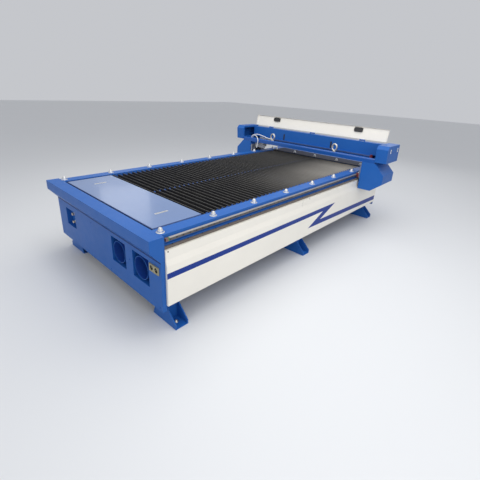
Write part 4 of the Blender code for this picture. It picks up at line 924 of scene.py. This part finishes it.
def port_details():
    """Rolled rims of the exhaust ducts, and the socket plate's outlets and bead."""
    rims = bmesh.new()
    for place in ("inner", "outer"):
        low, high = node_box(f"exhaust_duct_{place}")
        radius = (high.x - low.x) / 2
        centre = ((low.x + high.x) / 2, low.y + RIM_SETBACK, (low.z + high.z) / 2)
        add_rim(rims, centre, radius - RIM_INSET, RIM_WIRE)
    piece("duct_rims", rims, "blue", "table", 60)

    low, high = node_box("socket_plate")
    middle = (low.z + high.z) / 2
    quarter = (high.x - low.x) / 4
    wells = bmesh.new()
    pins = bmesh.new()
    for x in (low.x + quarter, high.x - quarter):
        add_lathe(wells, WELL_PROFILE, (x, low.y + WELL_SETBACK, middle), "y", -1, segments=32)
        for dx, dz in PIN_SPOTS:
            add_lathe(pins, PIN_PROFILE, (x + dx, low.y + PIN_SETBACK, middle + dz), "y", -1, segments=12)
    piece("outlet_wells", wells, "black", "table")
    piece("outlet_pins", pins, "zinc", "table")
    bead = bmesh.new()
    add_frame(bead, "y", low.y - BEAD_LIFT, (low.x + BEAD_INSET, low.z + BEAD_INSET),
              (high.x - BEAD_INSET, high.z - BEAD_INSET), BEAD_WIDTH, BEAD_DEPTH)
    piece("socket_bead", bead, "beige", "table", 0)


def end_screws():
    """Screws and small holes of the end panel, and a dark strip of painted shadow under the hood."""
    low, high = node_box("end_panel")
    row = low.z + END_SCREW_RISE
    spots = [(x, row) for x in (low.x + END_SCREW_INSET, *END_SCREW_X, high.x - END_SCREW_INSET)]
    screws = bmesh.new()
    for x, z in (*spots, *END_SCREW_SPOTS):
        add_screw(screws, (x, low.y, z), "y", -1, END_SCREW_SIZE)
    holes = bmesh.new()
    for x in (low.x + END_HOLE_INSETS[0], high.x - END_HOLE_INSETS[1]):
        add_lathe(holes, END_HOLE_PROFILE, (x, low.y, END_HOLE_Z), "y", -1, segments=16)
    piece("end_screws", screws, "blue", "table")
    piece("end_holes", holes, "black", "table")
    # Painted shadow: a dark blue strip where the hood's lip casts its shadow on the end panel
    shadow_strip = bmesh.new()
    half = node_box("end_hood")[1].x - HOOD_SHADOW_INSET
    add_block(shadow_strip, -half, half, low.y + HOOD_SHADOW_DEPTH[0], low.y + HOOD_SHADOW_DEPTH[1],
              high.z - HOOD_SHADOW_DROP[0], high.z - HOOD_SHADOW_DROP[1])
    piece("hood_shadow", shadow_strip, "shade", "table", 0)


def gas_nuts():
    """Union nuts and brass collars on the gas inlets."""
    nuts = bmesh.new()
    collars = bmesh.new()
    for place in ("upper", "lower"):
        low, high = node_box(f"gas_fitting_{place}")
        x, z = (low.x + high.x) / 2, (low.z + high.z) / 2
        add_lathe(nuts, NUT_PROFILE, (x, high.y - NUT_SETBACK, z), "y", -1, segments=6)
        add_lathe(collars, COLLAR_PROFILE, (x, low.y + COLLAR_SETBACK, z), "y", -1, segments=24)
    piece("gas_nuts", nuts, "zinc", "table", 20)
    piece("gas_collars", collars, "brass", "table")


def cover_details():
    """Pale frames in and round the cover plate's two lifting slots, painted light seen through them, and
    dark strips of painted shade along its gaps.
    """
    low, high = node_box("cover_plate")
    # Painted light: pale frames where light shows through the lifting slots
    light_frames = bmesh.new()
    for side in (-1, 1):
        x = side * GRIP_X
        add_frame(light_frames, "z", high.z - SLOT_LIGHT_SINK,
                  (x - GRIP_WIDTH / 2 - SLOT_LIGHT_OUTSET, GRIP_START - SLOT_LIGHT_OUTSET),
                  (x + GRIP_WIDTH / 2 + SLOT_LIGHT_OUTSET, GRIP_START + GRIP_LENGTH + SLOT_LIGHT_OUTSET),
                  SLOT_LIGHT_WIDTH, SLOT_LIGHT_HEIGHT)
    piece("slot_light", light_frames, "ball", "table", 0)
    # Painted shade: dark blue strips where the gaps along three of the plate's edges lie in shade
    gap_shade = bmesh.new()
    for x0, x1, y1 in ((low.x, high.x, low.y + GAP_SHADE_NEAR), (low.x, low.x + GAP_SHADE_SIDE, high.y),
                       (high.x - GAP_SHADE_SIDE, high.x, high.y)):
        add_block(gap_shade, x0 + GAP_SHADE_INSET, x1 - GAP_SHADE_INSET, low.y + GAP_SHADE_INSET,
                  y1 - GAP_SHADE_INSET, high.z - GAP_SHADE_SINK, high.z + GAP_SHADE_LIFT)
    piece("cover_gap_shade", gap_shade, "shade", "table", 0)


def panel_details():
    """Joint line, fixing holes and folded ends of each side panel."""
    seams = bmesh.new()
    edges = bmesh.new()
    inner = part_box("end_hood")[1].x + PANEL_GAP
    for side, hand in SIDES:
        low, high = node_box(f"side_panel_{hand}")
        add_side_block(seams, side, PANEL_UPPER_X - JOINT_SINK, PANEL_UPPER_X + JOINT_LIFT,
                       *JOINT_Y, *JOINT_Z)
        for y in (*PANEL_HOLE_Y, high.y - PANEL_HOLE_INSET):
            spot = (side * PANEL_UPPER_X, y, PANEL_HOLE_Z)
            add_lathe(seams, PANEL_HOLE_PROFILE, spot, "x", side, segments=14)
        outer = outer_x(low, high)
        foot = low.z + PANEL_FOOT_LIFT
        corners = ((inner, PANEL_TOP_Z), (PANEL_UPPER_X, PANEL_TOP_Z), (PANEL_UPPER_X, PANEL_FOLD_Z[0]),
                   (outer, PANEL_FOLD_Z[1]), (outer, foot), (inner, foot))
        outline = [(side * x, z) for x, z in corners]
        add_prism(edges, "y", outline, low.y - FOLD_LIFT, low.y + FOLD_SINK)
        add_prism(edges, "y", outline, high.y - FOLD_SINK, high.y + FOLD_LIFT)
    piece("panel_seams", seams, "black", "table", 0)
    piece("panel_edges", edges, "cream", "table", 0)


def rack_screws():
    """Screws along both racks."""
    screws = bmesh.new()
    for side, hand in SIDES:
        low, high = node_box(f"y_rack_{hand}")
        x = side * (outer_x(low, high) - RACK_SCREW_INSET)
        for i in range(int((high.y - low.y) / RACK_SCREW_PITCH)):
            y = low.y + RACK_SCREW_FIRST + RACK_SCREW_PITCH * i
            add_screw(screws, (x, y, high.z), "z", 1, RACK_SCREW_SIZE)
    piece("rack_screws", screws, "dark", "table")


def leg_bolts():
    """Anchor bolts of the legs, with washers and nuts."""
    bolts = bmesh.new()
    for place in ("near", "middle", "far"):
        for side, hand in SIDES:
            low, high = node_box(f"leg_{place}_{hand}")
            x = side * (outer_x(low, high) - ANCHOR_INSET)
            y = (low.y + high.y) / 2
            add_lathe(bolts, ANCHOR_WASHER, (x, y, low.z + ANCHOR_WASHER_RISE), "z", 1, segments=24)
            add_lathe(bolts, ANCHOR_NUT, (x, y, low.z + ANCHOR_NUT_RISE), "z", 1, segments=6)
    piece("leg_bolts", bolts, "zinc", "table", 20)


def comb_teeth():
    """Blue comb teeth between the slats; the outermost middle teeth are cut off at the bed's ends."""
    low, high = node_box("slat_bed")
    start = SLAT_FIRST - SLAT_PITCH / 2
    foot, tip = MIDDLE_TOOTH_Z
    middle = bmesh.new()
    for i in range(SLAT_COUNT + 1):
        y = start + SLAT_PITCH * i
        a = max(y - MIDDLE_TOOTH_HALF, low.y + MIDDLE_TOOTH_INSET)
        b = min(y + MIDDLE_TOOTH_HALF, high.y - MIDDLE_TOOTH_INSET)
        a_foot = a - MIDDLE_TOOTH_FLARE if i else a
        b_foot = b + MIDDLE_TOOTH_FLARE if i < SLAT_COUNT else b
        add_prism(middle, "x", ((a_foot, foot), (b_foot, foot), (b, tip), (a, tip)),
                  -MIDDLE_TOOTH_X, MIDDLE_TOOTH_X)
    piece("middle_teeth", middle, "tick", "table", 0)
    (foot_half, foot), (tip_half, tip) = SIDE_TOOTH_FOOT, SIDE_TOOTH_TIP
    teeth = bmesh.new()
    for side, hand in SIDES:
        inner = inner_x(*node_box(f"side_comb_{hand}"))
        x0, x1 = sorted((side * (inner - SIDE_TOOTH_DEPTH), side * inner))
        for i in range(1, SLAT_COUNT):
            y = start + SLAT_PITCH * i
            add_prism(teeth, "x", ((y - foot_half, foot), (y + foot_half, foot), (y + tip_half, tip),
                                   (y - tip_half, tip)), x0, x1)
    piece("side_teeth", teeth, "tick", "table", 0)


def box_latches():
    """Latches, and the seam round the door, on the outer face of each end box."""
    plates = bmesh.new()
    levers = bmesh.new()
    doors = bmesh.new()
    for side, hand in SIDES:
        face = outer_x(*node_box(f"end_box_{hand}"))
        for y in LATCH_Y:
            add_side_block(plates, side, face + LATCH_REACH[0], face + LATCH_REACH[1],
                           y - LATCH_HALF[0], y + LATCH_HALF[0],
                           LATCH_Z - LATCH_HALF[1], LATCH_Z + LATCH_HALF[1])
            add_side_block(levers, side, face + LEVER_REACH[0], face + LEVER_REACH[1],
                           y - LEVER_HALF, y + LEVER_HALF, LATCH_Z + LEVER_Z[0], LATCH_Z + LEVER_Z[1])
            spot = (side * (face + LATCH_PIN_REACH), y, LATCH_Z + LATCH_PIN_RISE)
            add_lathe(levers, LATCH_PIN, spot, "x", side, segments=12)
        add_frame(doors, "x", side * (face - DOOR_SINK), DOOR_LOW, DOOR_HIGH, DOOR_SEAM, side * DOOR_LIFT)
    piece("latch_plates", plates, "white", "gantry", 0)
    piece("latch_levers", levers, "black", "gantry", 0)
    piece("box_seams", doors, "shade", "gantry", 0)


def block_seals():
    """Red end seals of the guide blocks, each a clip astride the rail."""
    inner, rail, outer = (RAIL_FACE + reach for reach in SEAL_REACH)
    bottom, lower, upper, top = SEAL_Z
    seals = bmesh.new()
    for side, hand in SIDES:
        low, high = node_box(f"y_carriage_{hand}")
        for y, way in ((low.y, -1), (high.y, 1)):
            y0, y1 = sorted((y, y + way * SEAL_DEPTH))
            add_side_block(seals, side, rail, outer, y0, y1, bottom, top)
            add_side_block(seals, side, inner, rail, y0, y1, upper, top)
            add_side_block(seals, side, inner, rail, y0, y1, bottom, lower)
    piece("block_seals", seals, "red", "gantry", 0)


def gantry_details():
    """Red stop on the right upright, and black blocks of painted shade in the back wall's slots."""
    stop = bmesh.new()
    foot = node_box("gantry_upright_right")[1].z
    for x0, x1, y0, y1, z0, z1 in STOP_BLOCKS:
        add_block(stop, x0, x1, y0, y1, foot + z0, foot + z1)
    piece("cross_stop", stop, "red", "gantry", 0)
    # Painted shade: black blocks filling the back wall's slot openings
    shade_blocks = bmesh.new()
    for x in SLOT_SHADE_X:
        add_block(shade_blocks, x - SLOT_SHADE_HALF, x + SLOT_SHADE_HALF, *SLOT_SHADE_Y, *SLOT_SHADE_Z)
    piece("slot_shade_blocks", shade_blocks, "black", "gantry", 0)


def lid_details():
    """Blue sleeves over the hinge barrels, and rounded bezels round the lid grips."""
    sleeves = bmesh.new()
    for x in SLEEVE_X:
        add_lathe(sleeves, SLEEVE_PROFILE, (x - SLEEVE_SHIFT, HINGE_Y, HINGE_Z), "x", 1, segments=24)
    piece("hinge_sleeves", sleeves, "blue", "lid_body")
    lean = math.radians(LID_OPEN_DEG)
    along = Vector((0.0, math.sin(lean - math.pi / 2), math.cos(lean - math.pi / 2)))
    out = Vector((0.0, -along.z, along.y))
    for _, hand in SIDES:
        low, high = node_box(f"lid_grip_{hand}")
        centre = (low + high) / 2 + Vector((0.0, NEAR, TOP))
        rim = bmesh.new()
        rings = []
        for grow, lift in BEZEL_RINGS:
            radius = BEZEL_ROUND + grow
            row = []
            for corner, (sx, sy) in enumerate(BEZEL_CORNERS):
                for k in range(BEZEL_STEPS + 1):
                    turn = math.radians(90 * (corner + k / BEZEL_STEPS))
                    a = sx * (BEZEL_HALF_WIDTH - BEZEL_ROUND) + radius * math.cos(turn)
                    b = sy * (BEZEL_HALF_HEIGHT - BEZEL_ROUND) + radius * math.sin(turn)
                    row.append(rim.verts.new(centre + Vector((a, 0, 0)) + along * b + out * lift))
            rings.append(row)
        for near, far in zip(rings, rings[1:] + rings[:1]):
            for k in range(len(near)):
                m = (k + 1) % len(near)
                rim.faces.new((near[k], near[m], far[m], far[k]))
        piece(f"grip_bezel_{hand}", rim, "black", "lid_body", 50)


camera()
studio()
dress_nodes()
hose("air_hose_long", LONG_HOSE, "hose_long")
hose("air_hose_short", SHORT_HOSE, "hose_short")
ball_units()
rail_details()
stripes()
port_details()
end_screws()
gas_nuts()
cover_details()
panel_details()
rack_screws()
leg_bolts()
comb_teeth()
box_latches()
block_seals()
gantry_details()
lid_details()
